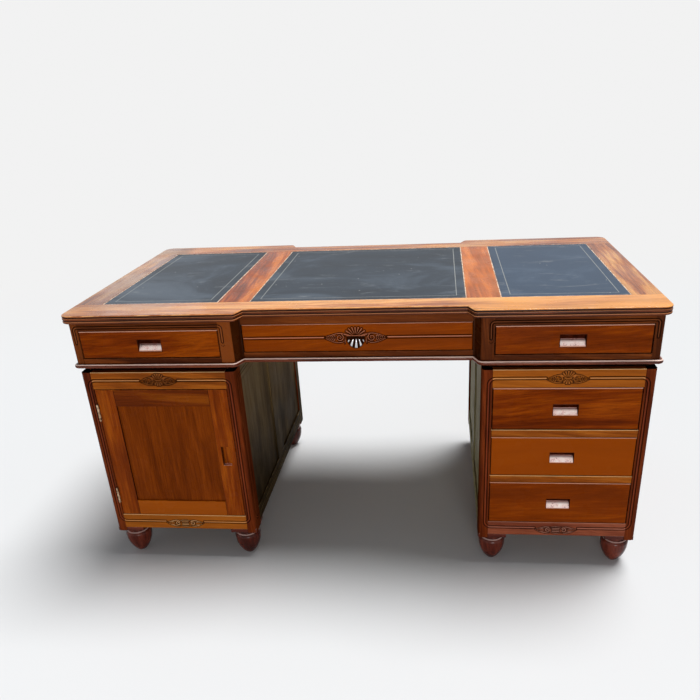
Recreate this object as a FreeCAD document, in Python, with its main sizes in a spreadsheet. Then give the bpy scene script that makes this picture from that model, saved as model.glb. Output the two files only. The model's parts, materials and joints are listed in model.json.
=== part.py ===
import FreeCAD, Part
import math
import os
import re
import Sketcher

from FreeCAD import Vector

# A partners desk: a leather-lined top with three frieze drawers on each long face, standing on two
# pedestals. Each pedestal has three drawers at one end and a cupboard at the other, and the desk looks
# the same when it is turned half a turn about its middle.
#
# Frame: millimetres, +X to the right along the length, front face towards -Y, +Z up.
# Origin: on the floor, under the middle of the top.

# Driving dimensions: alias, value, meaning.
SIZES = [
    ("desk_width", 1550, "length of the top"),
    ("desk_depth", 800, "depth of the top, front to back"),
    ("desk_height", 780, "floor to the top's surface"),
    ("kneehole_width", 652, "clear width between the pedestals"),
    ("end_overhang", 15, "top past the frieze at each end"),
    ("face_overhang", 16, "top past the frieze at front and back"),
    ("recess_depth", 36, "how far the middle of each long face stands back"),
    ("recess_splay", 15, "sideways run of the slanted return"),
    ("recess_inset", 38, "pedestal's inner side to the top's return"),
    ("return_inset", 19, "pedestal's inner side to the frieze's return"),
    ("return_round", 12, "rounding of the top's projecting corner"),
    ("corner_round", 28, "rounding of the top's outer corners"),
    ("top_thickness", 22, "edge thickness of the top"),
    ("upper_reed", 5, "height of the edge's upper reed"),
    ("middle_reed", 7.5, "height of the edge's middle reed"),
    ("reed_groove", 1.6, "height of the grooves between the reeds"),
    ("reed_sink", 2.2, "depth of those grooves"),
    ("end_border", 76.5, "wood border at each end of the top"),
    ("long_border", 103, "wood border along the front and back"),
    ("cross_strip", 86, "strip between two leathers"),
    ("strip_thickness", 8, "thickness of that strip"),
    ("leather_thickness", 1.6, "leather"),
    ("leather_sink", 0.4, "leather below the wood round it"),
    ("frieze_top_rail", 25, "rail above the frieze drawers"),
    ("frieze_opening", 78, "height of the frieze drawer openings"),
    ("frieze_low_rail", 14, "rail below the frieze drawers"),
    ("frieze_rail_depth", 22, "thickness of the frieze rails"),
    ("frieze_round", 6, "rounding of the frieze's outer corners"),
    ("stile_round", 8, "rounding of the inner stile's projecting corner"),
    ("outer_stile", 22, "frieze stile at the desk's corner, also the end panel's thickness"),
    ("inner_stile", 33, "flat front of the stile beside the recess"),
    ("stile_depth", 24, "thickness of the outer stile"),
    ("cheek_land", 4, "flat of the inner stile beside the middle drawer"),
    ("cheek_depth", 20, "inner stile behind the middle drawer's face"),
    ("frieze_partition", 20, "partition between side and middle bays"),
    ("partition_lap", 2, "partition's inner side before the inner stile's flat front"),
    ("floor_board", 12, "board under the frieze drawers"),
    ("bead_reach", 9, "bead moulding past the frieze"),
    ("shadow_gap", 15, "batten between pedestal and top section"),
    ("gap_inset", 18, "batten behind the pedestal's face"),
    ("batten_width", 40, "width of a batten"),
    ("pedestal_step_end", 1, "pedestal behind the frieze at the ends"),
    ("pedestal_step_face", 2, "pedestal behind the frieze at front and back"),
    ("post_width", 27.5, "corner post, across the face"),
    ("post_depth", 50, "corner post, along the side"),
    ("post_round", 10, "rounding of the post's outer corner"),
    ("rail_thickness", 22, "face rails of the pedestal"),
    ("pedestal_top_rail", 51, "rail above the pedestal drawers and the door"),
    ("pedestal_low_rail", 44, "rail below the lowest drawer"),
    ("door_low_rail", 48, "rail below the cupboard door"),
    ("rail_raise", 12, "lower rails above the post's foot"),
    ("divider_height", 22, "rail between two drawers"),
    ("divider_depth", 60, "that rail, front to back"),
    ("upper_grade", -2, "upper drawer against the mean drawer height"),
    ("middle_grade", -5, "middle drawer against the mean drawer height"),
    ("side_frame", 20, "thickness of the side rails and muntin"),
    ("side_top_rail", 47, "side frame's upper rail"),
    ("side_low_rail", 48, "side frame's lower rail"),
    ("muntin_width", 88, "upright in the middle of a side"),
    ("panel_thickness", 8, "side and door panels"),
    ("panel_sink", 5, "panel behind its frame's face"),
    ("panel_tongue", 8, "panel edge held in the frame's groove"),
    ("carcase_board", 18, "pedestal's top and bottom boards"),
    ("partition_board", 16, "board between the two ends of a bay"),
    ("front_thickness", 20, "drawer fronts and doors"),
    ("front_setback", 0.5, "drawer fronts and doors behind the rails' face"),
    ("front_gap", 1.2, "gap round a drawer front"),
    ("pull_width", 62, "drawer's finger recess"),
    ("pull_height", 30, "drawer's finger recess"),
    ("pull_depth", 13, "drawer's finger recess"),
    ("pull_back", 14, "height left at the back of the recess's sloping floor"),
    ("pull_lip", 5, "wood left in front of the finger hold"),
    ("pull_undercut", 4, "finger hold above the recess's mouth"),
    ("pull_drop", 3, "recess below the middle of the drawer front"),
    ("shell_radius", 26, "half width of the shell pull's bowl"),
    ("shell_height", 32, "height of the shell pull's bowl"),
    ("shell_depth", 14, "depth of the shell pull's bowl"),
    ("shell_rise", 1, "top of the bowl above the drawer's middle"),
    ("drawer_side", 10, "drawer sides and back"),
    ("drawer_bottom", 5, "drawer bottom"),
    ("bottom_rise", 8, "drawer bottom above the side's lower edge"),
    ("bottom_groove", 5, "groove that holds the drawer bottom"),
    ("side_clearance", 1, "drawer side to its guide"),
    ("run_clearance", 0.5, "drawer side above its runner"),
    ("drawer_headroom", 6, "drawer side below the top of its opening"),
    ("back_drop", 4, "drawer back below the sides"),
    ("back_space", 14, "free space behind a drawer"),
    ("runner_width", 14, "runner under a drawer side"),
    ("guide_height", 25, "guide beside a drawer side"),
    ("door_gap", 1.5, "gap round the door"),
    ("door_stile", 53, "door frame's uprights"),
    ("door_top_rail", 50, "door frame's upper rail"),
    ("door_foot_rail", 48, "door frame's lower rail"),
    ("latch_width", 25, "door's finger recess"),
    ("latch_height", 60, "door's finger recess"),
    ("latch_depth", 13, "door's finger recess"),
    ("latch_edge", 16, "door's free edge to the recess"),
    ("hinge_length", 50, "butt hinge"),
    ("hinge_offset", 68, "door's top or bottom edge to the hinge's middle"),
    ("leaf_thickness", 1.2, "hinge leaf"),
    ("leaf_reach", 15, "hinge leaf into the door's thickness"),
    ("knuckle_radius", 3, "hinge knuckle"),
    ("knuckle_gap", 0.3, "between two knuckles"),
    ("pin_radius", 1.25, "hinge pin"),
    ("pin_clearance", 0.05, "hinge pin in its knuckle"),
    ("axis_proud", 3.5, "hinge axis in front of the door's face"),
    ("foot_height", 92, "turned foot"),
    ("foot_inset", 42, "foot's axis behind the pedestal's faces"),
    ("foot_pad", 15, "radius at the floor"),
    ("foot_belly", 38, "largest radius"),
    ("foot_ring", 34, "radius of the ring above the belly"),
    ("foot_neck", 28, "radius of the neck"),
    ("foot_collar", 33, "radius of the collar"),
    ("shoulder_rise", 13, "from the largest radius up to the ring"),
    ("ring_rise", 3, "from the ring up to the neck"),
    ("neck_length", 6, "straight part of the neck"),
    ("collar_thickness", 8, "collar under the pedestal"),
    ("taper_bulge", 90, "radius of the taper's side, seen from the side"),
    ("shoulder_bulge", 12, "radius of the shoulder's side, seen from the side"),
    ("block_width", 78, "square block above a foot"),
    ("block_inset", 1.5, "block behind the pedestal's faces"),
]

# Places worked out from the driving dimensions: alias and formula.
LAYOUT = [
    ("top_x", "desk_width / 2"),
    ("top_y", "desk_depth / 2"),
    ("top_under", "desk_height - top_thickness"),
    ("leather_under", "desk_height - leather_sink - leather_thickness"),
    ("knee_x", "kneehole_width / 2"),
    ("recess_x", "knee_x - recess_inset"),
    ("leather_x", "top_x - end_border"),
    ("leather_y", "top_y - long_border"),
    ("frieze_x", "top_x - end_overhang"),
    ("frieze_y", "top_y - face_overhang"),
    ("return_x", "knee_x - return_inset"),
    ("middle_y", "frieze_y - recess_depth"),
    ("frieze_open_top", "top_under - frieze_top_rail"),
    ("frieze_open_low", "frieze_open_top - frieze_opening"),
    ("frieze_low", "frieze_open_low - frieze_low_rail"),
    ("section_low", "frieze_low - floor_board"),
    ("bay_in", "return_x + recess_splay + inner_stile"),
    ("bay_out", "frieze_x - outer_stile"),
    ("middle_open", "return_x - cheek_land"),
    ("partition_in", "return_x + recess_splay - partition_lap"),
    ("partition_out", "partition_in + frieze_partition"),
    ("stile_back", "middle_y - cheek_depth"),
    ("half_board", "partition_board / 2"),
    ("ped_in", "knee_x"),
    ("ped_out", "frieze_x - pedestal_step_end"),
    ("ped_mid", "(ped_in + ped_out) / 2"),
    ("ped_y", "frieze_y - pedestal_step_face"),
    ("ped_top", "section_low - shadow_gap"),
    ("open_in", "ped_in + post_width"),
    ("open_out", "ped_out - post_width"),
    ("open_top", "ped_top - pedestal_top_rail"),
    ("rail_low", "foot_height + rail_raise"),
    ("open_low", "rail_low + pedestal_low_rail"),
    ("door_open_low", "rail_low + door_low_rail"),
    ("mean_opening", "(open_top - open_low - 2 * divider_height) / 3"),
    ("upper_low", "open_top - mean_opening - upper_grade"),
    ("middle_top", "upper_low - divider_height"),
    ("middle_low", "middle_top - mean_opening - middle_grade"),
    ("lower_top", "middle_low - divider_height"),
    ("frame_in", "ped_in + side_frame"),
    ("frame_out", "ped_out - side_frame"),
    ("post_y", "ped_y - post_depth"),
    ("half_muntin", "muntin_width / 2"),
    ("side_panel_top", "ped_top - side_top_rail"),
    ("side_panel_low", "rail_low + side_low_rail"),
    ("door_free", "open_in + door_gap"),
    ("door_hung", "open_out - door_gap"),
    ("door_low", "door_open_low + door_gap"),
    ("door_high", "open_top - door_gap"),
    ("door_face", "ped_y - front_setback"),
    ("hinge_x", "open_out - door_gap / 2"),
    ("hinge_y", "door_face + axis_proud"),
    ("collar_low", "foot_height - collar_thickness"),
    ("neck_low", "collar_low - neck_length"),
    ("ring_high", "neck_low - ring_rise"),
    ("belly_high", "ring_high - shoulder_rise"),
]

FIRST_ROW = 2
HALF_TURN = FreeCAD.Rotation(Vector(0, 0, 1), 180)
ALONG_X = Vector(1, 0, 0)
ALONG_Y = Vector(0, 1, 0)
TINY = 1e-6
KNUCKLES = 5  # of a hinge
MITRE_REACH = 50  # how far past the frieze the mitred zones run
FRIEZE_OUTLINE = ("frieze_x", "frieze_y", "return_x", "frieze_round", "stile_round")

doc = FreeCAD.newDocument("PartnersDesk")
owner = {}
nodes = []


def bound(text):
    """Put the right sheet's name before each alias of an expression."""
    return re.sub(r"[a-z][a-z_]*[a-z]", lambda word: owner[word.group()] + "." + word.group(), str(text))


def make_sheets():
    """The driving dimensions in one sheet, and the places worked out from them in another."""
    sizes = doc.addObject("Spreadsheet::Sheet", "Sizes")
    for row, (alias, value, meaning) in enumerate(SIZES, FIRST_ROW):
        sizes.set(f"A{row}", meaning)
        sizes.set(f"B{row}", str(value))
        sizes.setAlias(f"B{row}", alias)
        owner[alias] = "Sizes"
    doc.recompute()
    layout = doc.addObject("Spreadsheet::Sheet", "Layout")
    for row, (alias, formula) in enumerate(LAYOUT, FIRST_ROW):
        layout.set(f"A{row}", alias.replace("_", " "))
        layout.set(f"B{row}", "=" + bound(formula).replace("Layout.", ""))
        layout.setAlias(f"B{row}", alias)
        owner[alias] = "Layout"
        doc.recompute()


make_sheets()


def value(alias):
    """The number behind an alias of either sheet."""
    return float(doc.getObject(owner[alias]).get(alias))


def bind(item, **settings):
    """Bind properties of an object to expressions."""
    for name, text in settings.items():
        item.setExpression(name.replace("__", "."), bound(text))


# ---------------------------------------------------------------- building blocks


def slab(label, across, along, up):
    """A board between two places on each axis."""
    item = doc.addObject("Part::Box", label)
    for side, axis, span in zip(("Length", "Width", "Height"), "xyz", (across, along, up)):
        low, high = span
        item.setExpression(side, bound(f"({high}) - ({low})"))
        item.setExpression("Placement.Base." + axis, bound(low))
    return item


def rod(label, radius, centre, up):
    """An upright round bar between two heights."""
    item = doc.addObject("Part::Cylinder", label)
    bind(item, Radius=radius, Height=f"({up[1]}) - ({up[0]})")
    bind(item, Placement__Base__x=centre[0], Placement__Base__y=centre[1], Placement__Base__z=up[0])
    return item


def fused(label, items):
    item = doc.addObject("Part::MultiFuse", label)
    item.Shapes = items
    return item


def cut(label, base, tool):
    item = doc.addObject("Part::Cut", label)
    item.Base = base
    item.Tool = tool
    return item


def group(label, items):
    """Several separate solids held as one object."""
    item = doc.addObject("Part::Compound", label)
    item.Links = items
    return item


def turned(label, source):
    """The same piece on the other side of the desk, half a turn about the middle."""
    item = group(label, [source])
    item.Placement = FreeCAD.Placement(Vector(), HALF_TURN)
    return item


def mirrored(label, source, normal, centre_x="0"):
    """The same piece reflected in an upright plane."""
    item = doc.addObject("Part::Mirroring", label)
    item.Source = source
    item.Normal = normal
    bind(item, Base__x=centre_x)
    return item


def node(item):
    """Name an object as a sub-part of the desk."""
    nodes.append(item)
    return item


def raised(wire, low, high):
    """A prism on a flat closed wire at height zero, between two heights."""
    prism = Part.Face(wire).extrude(Vector(0, 0, high - low))
    prism.translate(Vector(0, 0, low))
    return prism


def feature(label, shape):
    item = doc.addObject("Part::Feature", label)
    item.Shape = shape
    return item


def rounded_polygon(corners):
    """A closed flat wire through corners given as (x, y, radius), from the first corner on."""
    count = len(corners)
    arcs = []
    ends = []
    for number, (x, y, radius) in enumerate(corners):
        here = Vector(x, y, 0)
        if radius == 0:
            arcs.append([])
            ends.append((here, here))
            continue
        back = (Vector(*corners[number - 1][:2], 0) - here).normalize()
        onward = (Vector(*corners[(number + 1) % count][:2], 0) - here).normalize()
        half = back.getAngle(onward) / 2
        start = here + back * (radius / math.tan(half))
        finish = here + onward * (radius / math.tan(half))
        centre = here + (back + onward).normalize() * (radius / math.sin(half))
        middle = centre + (here - centre).normalize() * radius
        arcs.append([Part.Arc(start, middle, finish).toShape()])
        ends.append((start, finish))
    edges = []
    for number in range(count):
        edges += arcs[number]
        edges.append(Part.LineSegment(ends[number][1], ends[(number + 1) % count][0]).toShape())
    return Part.Wire(edges)


def breakfront(end, face, return_place, outer_round, return_round):
    """The flat outline of a plate whose long faces stand back in the middle, from mid front round."""
    half_x = value(end)
    half_y = value(face)
    return_x = value(return_place)
    deep = value("recess_depth")
    splay = value("recess_splay")
    half = [
        (0, deep - half_y, 0),
        (return_x, deep - half_y, 0),
        (return_x + splay, -half_y, value(return_round)),
        (half_x, -half_y, value(outer_round)),
        (half_x, half_y, value(outer_round)),
        (return_x + splay, half_y, value(return_round)),
        (return_x, half_y - deep, 0),
    ]
    return rounded_polygon(half + [(-x, -y, radius) for x, y, radius in half])


def rounded_post(label, section, corner, up, rounding):
    """An upright post whose outer corner, at its lowest x and y, is rounded."""
    body = doc.addObject("PartDesign::Body", label)
    sketch = body.newObject("Sketcher::SketchObject", label + "_section")
    plane = [item for item in body.Origin.OriginFeatures if item.Role == "XY_Plane"][0]
    sketch.AttachmentSupport = [(plane, "")]
    sketch.MapMode = "FlatFace"
    wide = value(section[0])
    deep = value(section[1])
    corners = [Vector(0, 0, 0), Vector(wide, 0, 0), Vector(wide, deep, 0), Vector(0, deep, 0)]
    for number in range(4):
        sketch.addGeometry(Part.LineSegment(corners[number], corners[(number + 1) % 4]))
    for number in range(4):
        sketch.addConstraint(Sketcher.Constraint("Coincident", number, 2, (number + 1) % 4, 1))
    for number, direction in enumerate(("Horizontal", "Vertical", "Horizontal", "Vertical")):
        sketch.addConstraint(Sketcher.Constraint(direction, number))
    sketch.addConstraint(Sketcher.Constraint("Coincident", 0, 1, -1, 1))
    for name, direction, line, length in (("wide", "DistanceX", 0, wide), ("deep", "DistanceY", 1, deep)):
        number = sketch.addConstraint(Sketcher.Constraint(direction, line, 1, line, 2, length))
        sketch.renameConstraint(number, name)
    sketch.setExpression("Constraints.wide", bound(section[0]))
    sketch.setExpression("Constraints.deep", bound(section[1]))
    pad = body.newObject("PartDesign::Pad", label + "_height")
    pad.Profile = sketch
    bind(pad, Length=f"({up[1]}) - ({up[0]})")
    doc.recompute()
    names = [f"Edge{number}" for number, edge in enumerate(pad.Shape.Edges, 1) if on_axis(edge)]
    fillet = body.newObject("PartDesign::Fillet", label + "_corner")
    fillet.Base = (pad, names)
    bind(fillet, Radius=rounding)
    body.Tip = fillet
    bind(body, Placement__Base__x=corner[0], Placement__Base__y=corner[1], Placement__Base__z=up[0])
    return body


def on_axis(edge):
    """Whether an edge stands on the z axis."""
    return all(abs(vertex.X) < TINY and abs(vertex.Y) < TINY for vertex in edge.Vertexes)


# ---------------------------------------------------------------- top


def make_top():
    """The reeded border, the strips, the core and the three leathers."""
    outline = breakfront("top_x", "top_y", "recess_x", "corner_round", "return_round")
    inner = Part.Face(outline).makeOffset2D(-value("reed_sink"), 2).OuterWire
    plate = raised(outline, value("top_under"), value("desk_height"))
    groove_top = value("desk_height")
    for reed in ("upper_reed", "middle_reed"):
        groove_top -= value(reed)
        groove = (groove_top - value("reed_groove"), groove_top)
        plate = plate.cut(raised(outline, *groove).cut(raised(inner, *groove)))
    plate = feature("top_plate", plate)
    height = ("top_under", "desk_height")

    def border(label, across, along):
        piece = doc.addObject("Part::Common", label)
        piece.Base = plate
        piece.Tool = slab(label + "_place", across, along, height)
        return piece

    front = border("top_front_border", ("-top_x", "top_x"), ("-top_y", "-leather_y"))
    ends = [
        border("right_end_border", ("leather_x", "top_x"), ("-leather_y", "leather_y")),
        border("left_end_border", ("-top_x", "-leather_x"), ("-leather_y", "leather_y")),
    ]
    node(front)
    node(turned("top_back_border", front))
    node(group("top_end_borders", ends))

    depth = ("-leather_y", "leather_y")
    strip_height = ("desk_height - strip_thickness", "desk_height")
    strip = slab("right_cross_strip", ("recess_x", "recess_x + cross_strip"), depth, strip_height)
    strips = group("top_cross_strips", [strip, turned("left_cross_strip", strip)])
    board = slab("top_core_board", ("-leather_x", "leather_x"), depth, ("top_under", "leather_under"))
    node(strips)
    node(cut("top_core", board, strips))

    leather_height = ("leather_under", "desk_height - leather_sink")
    right = slab("leather_right", ("recess_x + cross_strip", "leather_x"), depth, leather_height)
    node(right)
    node(turned("leather_left", right))
    node(slab("leather_middle", ("-recess_x", "recess_x"), depth, leather_height))


# ---------------------------------------------------------------- frieze


def make_frieze_frame():
    """Stiles and rails round the three drawers of one long face, and the same on the other."""
    height = ("frieze_low", "top_under")
    outer_left = rounded_post(
        "frieze_outer_stile_left",
        ("outer_stile", "stile_depth"),
        ("-frieze_x", "-frieze_y"),
        height,
        "frieze_round",
    )
    outer_right = mirrored("frieze_outer_stile_right", outer_left, ALONG_X)
    inner_section = rounded_polygon(
        [
            (value("bay_in"), -value("frieze_y"), 0),
            (value("bay_in"), -value("stile_back"), 0),
            (value("middle_open"), -value("stile_back"), 0),
            (value("middle_open"), -value("middle_y"), 0),
            (value("return_x"), -value("middle_y"), 0),
            (value("return_x") + value("recess_splay"), -value("frieze_y"), value("stile_round")),
        ]
    )
    inner_shape = raised(inner_section, value("frieze_low"), value("top_under"))
    inner_right = feature("frieze_inner_stile_right", inner_shape)
    inner_left = mirrored("frieze_inner_stile_left", inner_right, ALONG_X)
    pieces = [outer_left, outer_right, inner_left, inner_right]
    rail_heights = (
        ("top", ("frieze_open_top", "top_under")),
        ("low", ("frieze_low", "frieze_open_low")),
    )
    side_depth = ("-frieze_y", "-frieze_y + frieze_rail_depth")
    middle_depth = ("-middle_y", "-middle_y + frieze_rail_depth")
    for name, up in rail_heights:
        right = slab(f"frieze_{name}_rail_right", ("bay_in", "bay_out"), side_depth, up)
        left = mirrored(f"frieze_{name}_rail_left", right, ALONG_X)
        middle = slab(f"frieze_{name}_rail_middle", ("-middle_open", "middle_open"), middle_depth, up)
        pieces += [right, left, middle]
    front = node(group("frieze_front_frame", pieces))
    node(turned("frieze_back_frame", front))


def make_frieze_carcase():
    """End panels, partitions, the board underneath, and the drawer runners."""
    height = ("frieze_low", "top_under")
    end_depth = ("-frieze_y + stile_depth", "frieze_y - stile_depth")
    end_right = slab("frieze_end_right", ("bay_out", "frieze_x"), end_depth, height)
    node(group("frieze_end_panels", [end_right, turned("frieze_end_left", end_right)]))

    depth = ("-stile_back", "stile_back")
    right = slab("frieze_partition_right", ("partition_in", "partition_out"), depth, height)
    thin = ("-half_board", "half_board")
    side_board = slab("frieze_back_to_back_right", ("partition_out", "bay_out"), thin, height)
    boards = [
        right,
        turned("frieze_partition_left", right),
        side_board,
        turned("frieze_back_to_back_left", side_board),
        slab("frieze_back_to_back_middle", ("-partition_in", "partition_in"), thin, height),
    ]
    node(group("frieze_partitions", boards))

    outline = breakfront(*FRIEZE_OUTLINE)
    node(feature("frieze_floor_board", raised(outline, value("section_low"), value("frieze_low"))))

    run = ("frieze_low", "frieze_open_low")
    guide = ("frieze_open_low", "frieze_open_low + guide_height")
    side_run = ("-stile_back", "-half_board")
    rail_run = ("-frieze_y + frieze_rail_depth", "-half_board")
    middle_run = ("-middle_y + frieze_rail_depth", "-half_board")
    right_runners = group(
        "frieze_runners_right",
        [
            slab("side_bay_inner_runner", ("partition_out", "bay_in + runner_width"), side_run, run),
            slab("side_bay_guide", ("partition_out", "bay_in"), side_run, guide),
            slab("side_bay_outer_runner", ("bay_out - runner_width", "bay_out"), rail_run, run),
            slab("middle_bay_runner", ("middle_open - runner_width", "partition_in"), middle_run, run),
            slab("middle_bay_guide", ("middle_open", "partition_in"), middle_run, guide),
        ],
    )
    front = group(
        "frieze_runners_front",
        [right_runners, mirrored("frieze_runners_left", right_runners, ALONG_X)],
    )
    node(group("frieze_drawer_runners", [front, turned("frieze_runners_back", front)]))


def make_bead():
    """The half-round moulding round the board under the frieze, in four lengths mitred together."""
    outline = breakfront(*FRIEZE_OUTLINE)
    middle = (value("section_low") + value("frieze_low")) / 2
    half = value("floor_board") / 2
    outline.translate(Vector(0, 0, middle))
    start = Vector(0, -value("middle_y"), middle)
    low = start - Vector(0, 0, half)
    high = start + Vector(0, 0, half)
    flat = Vector(0, half - value("bead_reach"), 0)
    crest = start - Vector(0, value("bead_reach"), 0)
    edges = [
        Part.LineSegment(low, low + flat),
        Part.Arc(low + flat, crest, high + flat),
        Part.LineSegment(high + flat, high),
        Part.LineSegment(high, low),
    ]
    profile = Part.Wire([edge.toShape() for edge in edges])
    ring = outline.makePipeShell([profile], True, False, 1)
    out_x = value("frieze_x") + MITRE_REACH
    out_y = value("frieze_y") + MITRE_REACH
    in_x = value("frieze_x") - value("frieze_y") / 2
    in_y = value("frieze_y") / 2
    front_zone = [(-out_x, -out_y, 0), (out_x, -out_y, 0), (in_x, -in_y, 0), (-in_x, -in_y, 0)]
    right_zone = [(out_x, -out_y, 0), (out_x, out_y, 0), (in_x, in_y, 0), (in_x, -in_y, 0)]
    lengths = []
    for name, zone in (("front", front_zone), ("right", right_zone)):
        part = ring.common(raised(rounded_polygon(zone), value("section_low"), value("frieze_low")))
        piece = feature(f"bead_{name}", part)
        lengths += [piece, turned(f"bead_opposite_{name}", piece)]
    node(group("frieze_bead_moulding", lengths))


# ---------------------------------------------------------------- drawers


def finger_recess(label, centre, face):
    """A recess with a sloping floor and a hold for the fingertips behind its upper edge."""
    wedge = doc.addObject("Part::Wedge", label + "_slope")
    bind(wedge, Xmin="-pull_width / 2", Xmax="pull_width / 2")
    bind(wedge, X2min="-pull_width / 2", X2max="pull_width / 2")
    bind(wedge, Zmin="-pull_height / 2", Zmax="pull_height / 2", Ymin=0, Ymax="pull_depth")
    bind(wedge, Z2min="pull_height / 2 - pull_back", Z2max="pull_height / 2")
    bind(wedge, Placement__Base__x=centre[0], Placement__Base__y=face, Placement__Base__z=centre[1])
    across = (f"({centre[0]}) - pull_width / 2", f"({centre[0]}) + pull_width / 2")
    along = (f"({face}) + pull_lip", f"({face}) + pull_depth")
    up = (f"({centre[1]}) + pull_height / 2", f"({centre[1]}) + pull_height / 2 + pull_undercut")
    return fused(label, [wedge, slab(label + "_hold", across, along, up)])


def shell_recess(label, top, face):
    """The bowl under the carved shell: a quarter of an ellipsoid, with a hold above it."""
    bowl = doc.addObject("Part::Ellipsoid", label + "_bowl")
    bind(bowl, Radius1="shell_height", Radius2="shell_radius", Radius3="shell_depth")
    bowl.Angle1 = -90
    bowl.Angle2 = 0
    bind(bowl, Placement__Base__y=face, Placement__Base__z=top)
    across = ("-shell_radius * 2 / 3", "shell_radius * 2 / 3")
    along = (f"({face}) + pull_lip", f"({face}) + shell_depth * 2 / 3")
    hold = slab(label + "_hold", across, along, (top, f"({top}) + pull_undercut"))
    return fused(label, [bowl, hold])


def make_drawer(name, across, face, up, is_shell=False):
    """A drawer in an opening: a front with its recess, two sides, a back and a bottom in grooves."""
    left, right = across
    low, high = up
    front_face = f"({face}) + front_setback"
    inside = f"{front_face} + front_thickness"
    far_end = "-half_board - back_space"
    front_board = slab(
        name + "_board",
        (f"({left}) + front_gap", f"({right}) - front_gap"),
        (front_face, inside),
        (f"({low}) + front_gap", f"({high}) - front_gap"),
    )
    side_left = f"({left}) + side_clearance"
    side_right = f"({right}) - side_clearance"
    side_low = f"({low}) + run_clearance"
    side_high = f"({high}) - drawer_headroom"
    bottom_low = f"{side_low} + bottom_rise"
    bottom_high = f"{bottom_low} + drawer_bottom"
    bottom = slab(
        name + "_bottom",
        (f"{side_left} + drawer_side - bottom_groove", f"{side_right} - drawer_side + bottom_groove"),
        (f"{inside} - bottom_groove", far_end),
        (bottom_low, bottom_high),
    )
    back = slab(
        name + "_back",
        (f"{side_left} + drawer_side", f"{side_right} - drawer_side"),
        (f"{far_end} - drawer_side", far_end),
        (bottom_high, f"{side_high} - back_drop"),
    )
    spans = {
        "left": (side_left, f"{side_left} + drawer_side"),
        "right": (f"{side_right} - drawer_side", side_right),
    }
    pieces = [back, bottom]
    for side, span in spans.items():
        board = slab(f"{name}_{side}_board", span, (inside, far_end), (side_low, side_high))
        pieces.append(cut(f"{name}_{side}_side", board, bottom))
    middle_x = f"(({left}) + ({right})) / 2"
    middle_z = f"(({low}) + ({high})) / 2"
    if is_shell:
        recess = shell_recess(name + "_recess", f"{middle_z} + shell_rise", front_face)
    else:
        recess = finger_recess(name + "_recess", (middle_x, f"{middle_z} - pull_drop"), front_face)
    front = cut(name + "_front", front_board, group(name + "_cuts", [recess, bottom]))
    return front, group(name + "_box", pieces)


def make_drawers():
    """Six drawers in the front face, and the same six in the back face."""
    frieze = ("frieze_open_low", "frieze_open_top")
    bay = ("open_in", "open_out")
    drawers = {
        "frieze_left_drawer": (("-bay_out", "-bay_in"), "-frieze_y", frieze, False),
        "frieze_middle_drawer": (("-middle_open", "middle_open"), "-middle_y", frieze, True),
        "frieze_right_drawer": (("bay_in", "bay_out"), "-frieze_y", frieze, False),
        "pedestal_upper_drawer": (bay, "-ped_y", ("upper_low", "open_top"), False),
        "pedestal_middle_drawer": (bay, "-ped_y", ("middle_low", "middle_top"), False),
        "pedestal_lower_drawer": (bay, "-ped_y", ("open_low", "lower_top"), False),
    }
    for name, place in drawers.items():
        front, box = make_drawer("front_" + name, *place)
        node(front)
        node(box)
        node(turned(f"back_{name}_front", front))
        node(turned(f"back_{name}_box", box))


# ---------------------------------------------------------------- pedestals and door


def make_hinge(name, middle):
    """A butt hinge: the door's leaf, the post's leaf, and the pin through their knuckles."""
    low = f"({middle}) - hinge_length / 2"
    reach = ("door_face - leaf_reach", "door_face")
    full = (low, f"{low} + hinge_length")
    spans = {
        "door": ("door_hung - leaf_thickness", "door_hung"),
        "post": ("open_out", "open_out + leaf_thickness"),
    }
    segment = f"(hinge_length - {KNUCKLES - 1} * knuckle_gap) / {KNUCKLES}"
    hole = rod(f"{name}_bore", "pin_radius + pin_clearance", ("hinge_x", "hinge_y"), full)
    leaves = {}
    for first, (owner_name, across) in zip((1, 0), spans.items()):
        label = f"{name}_{owner_name}_leaf"
        pieces = [slab(label + "_plate", across, reach, full)]
        for number in range(first, KNUCKLES, 2):
            start = f"{low} + {number} * ({segment} + knuckle_gap)"
            up = (start, f"{start} + {segment}")
            pieces.append(slab(f"{label}_bridge_{number}", across, ("door_face", "hinge_y"), up))
            pieces.append(rod(f"{label}_knuckle_{number}", "knuckle_radius", ("hinge_x", "hinge_y"), up))
        leaves[owner_name] = cut(label, fused(label + "_blank", pieces), hole)
    pin = rod(f"{name}_pin", "pin_radius", ("hinge_x", "hinge_y"), full)
    return leaves["door"], leaves["post"], pin


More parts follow.
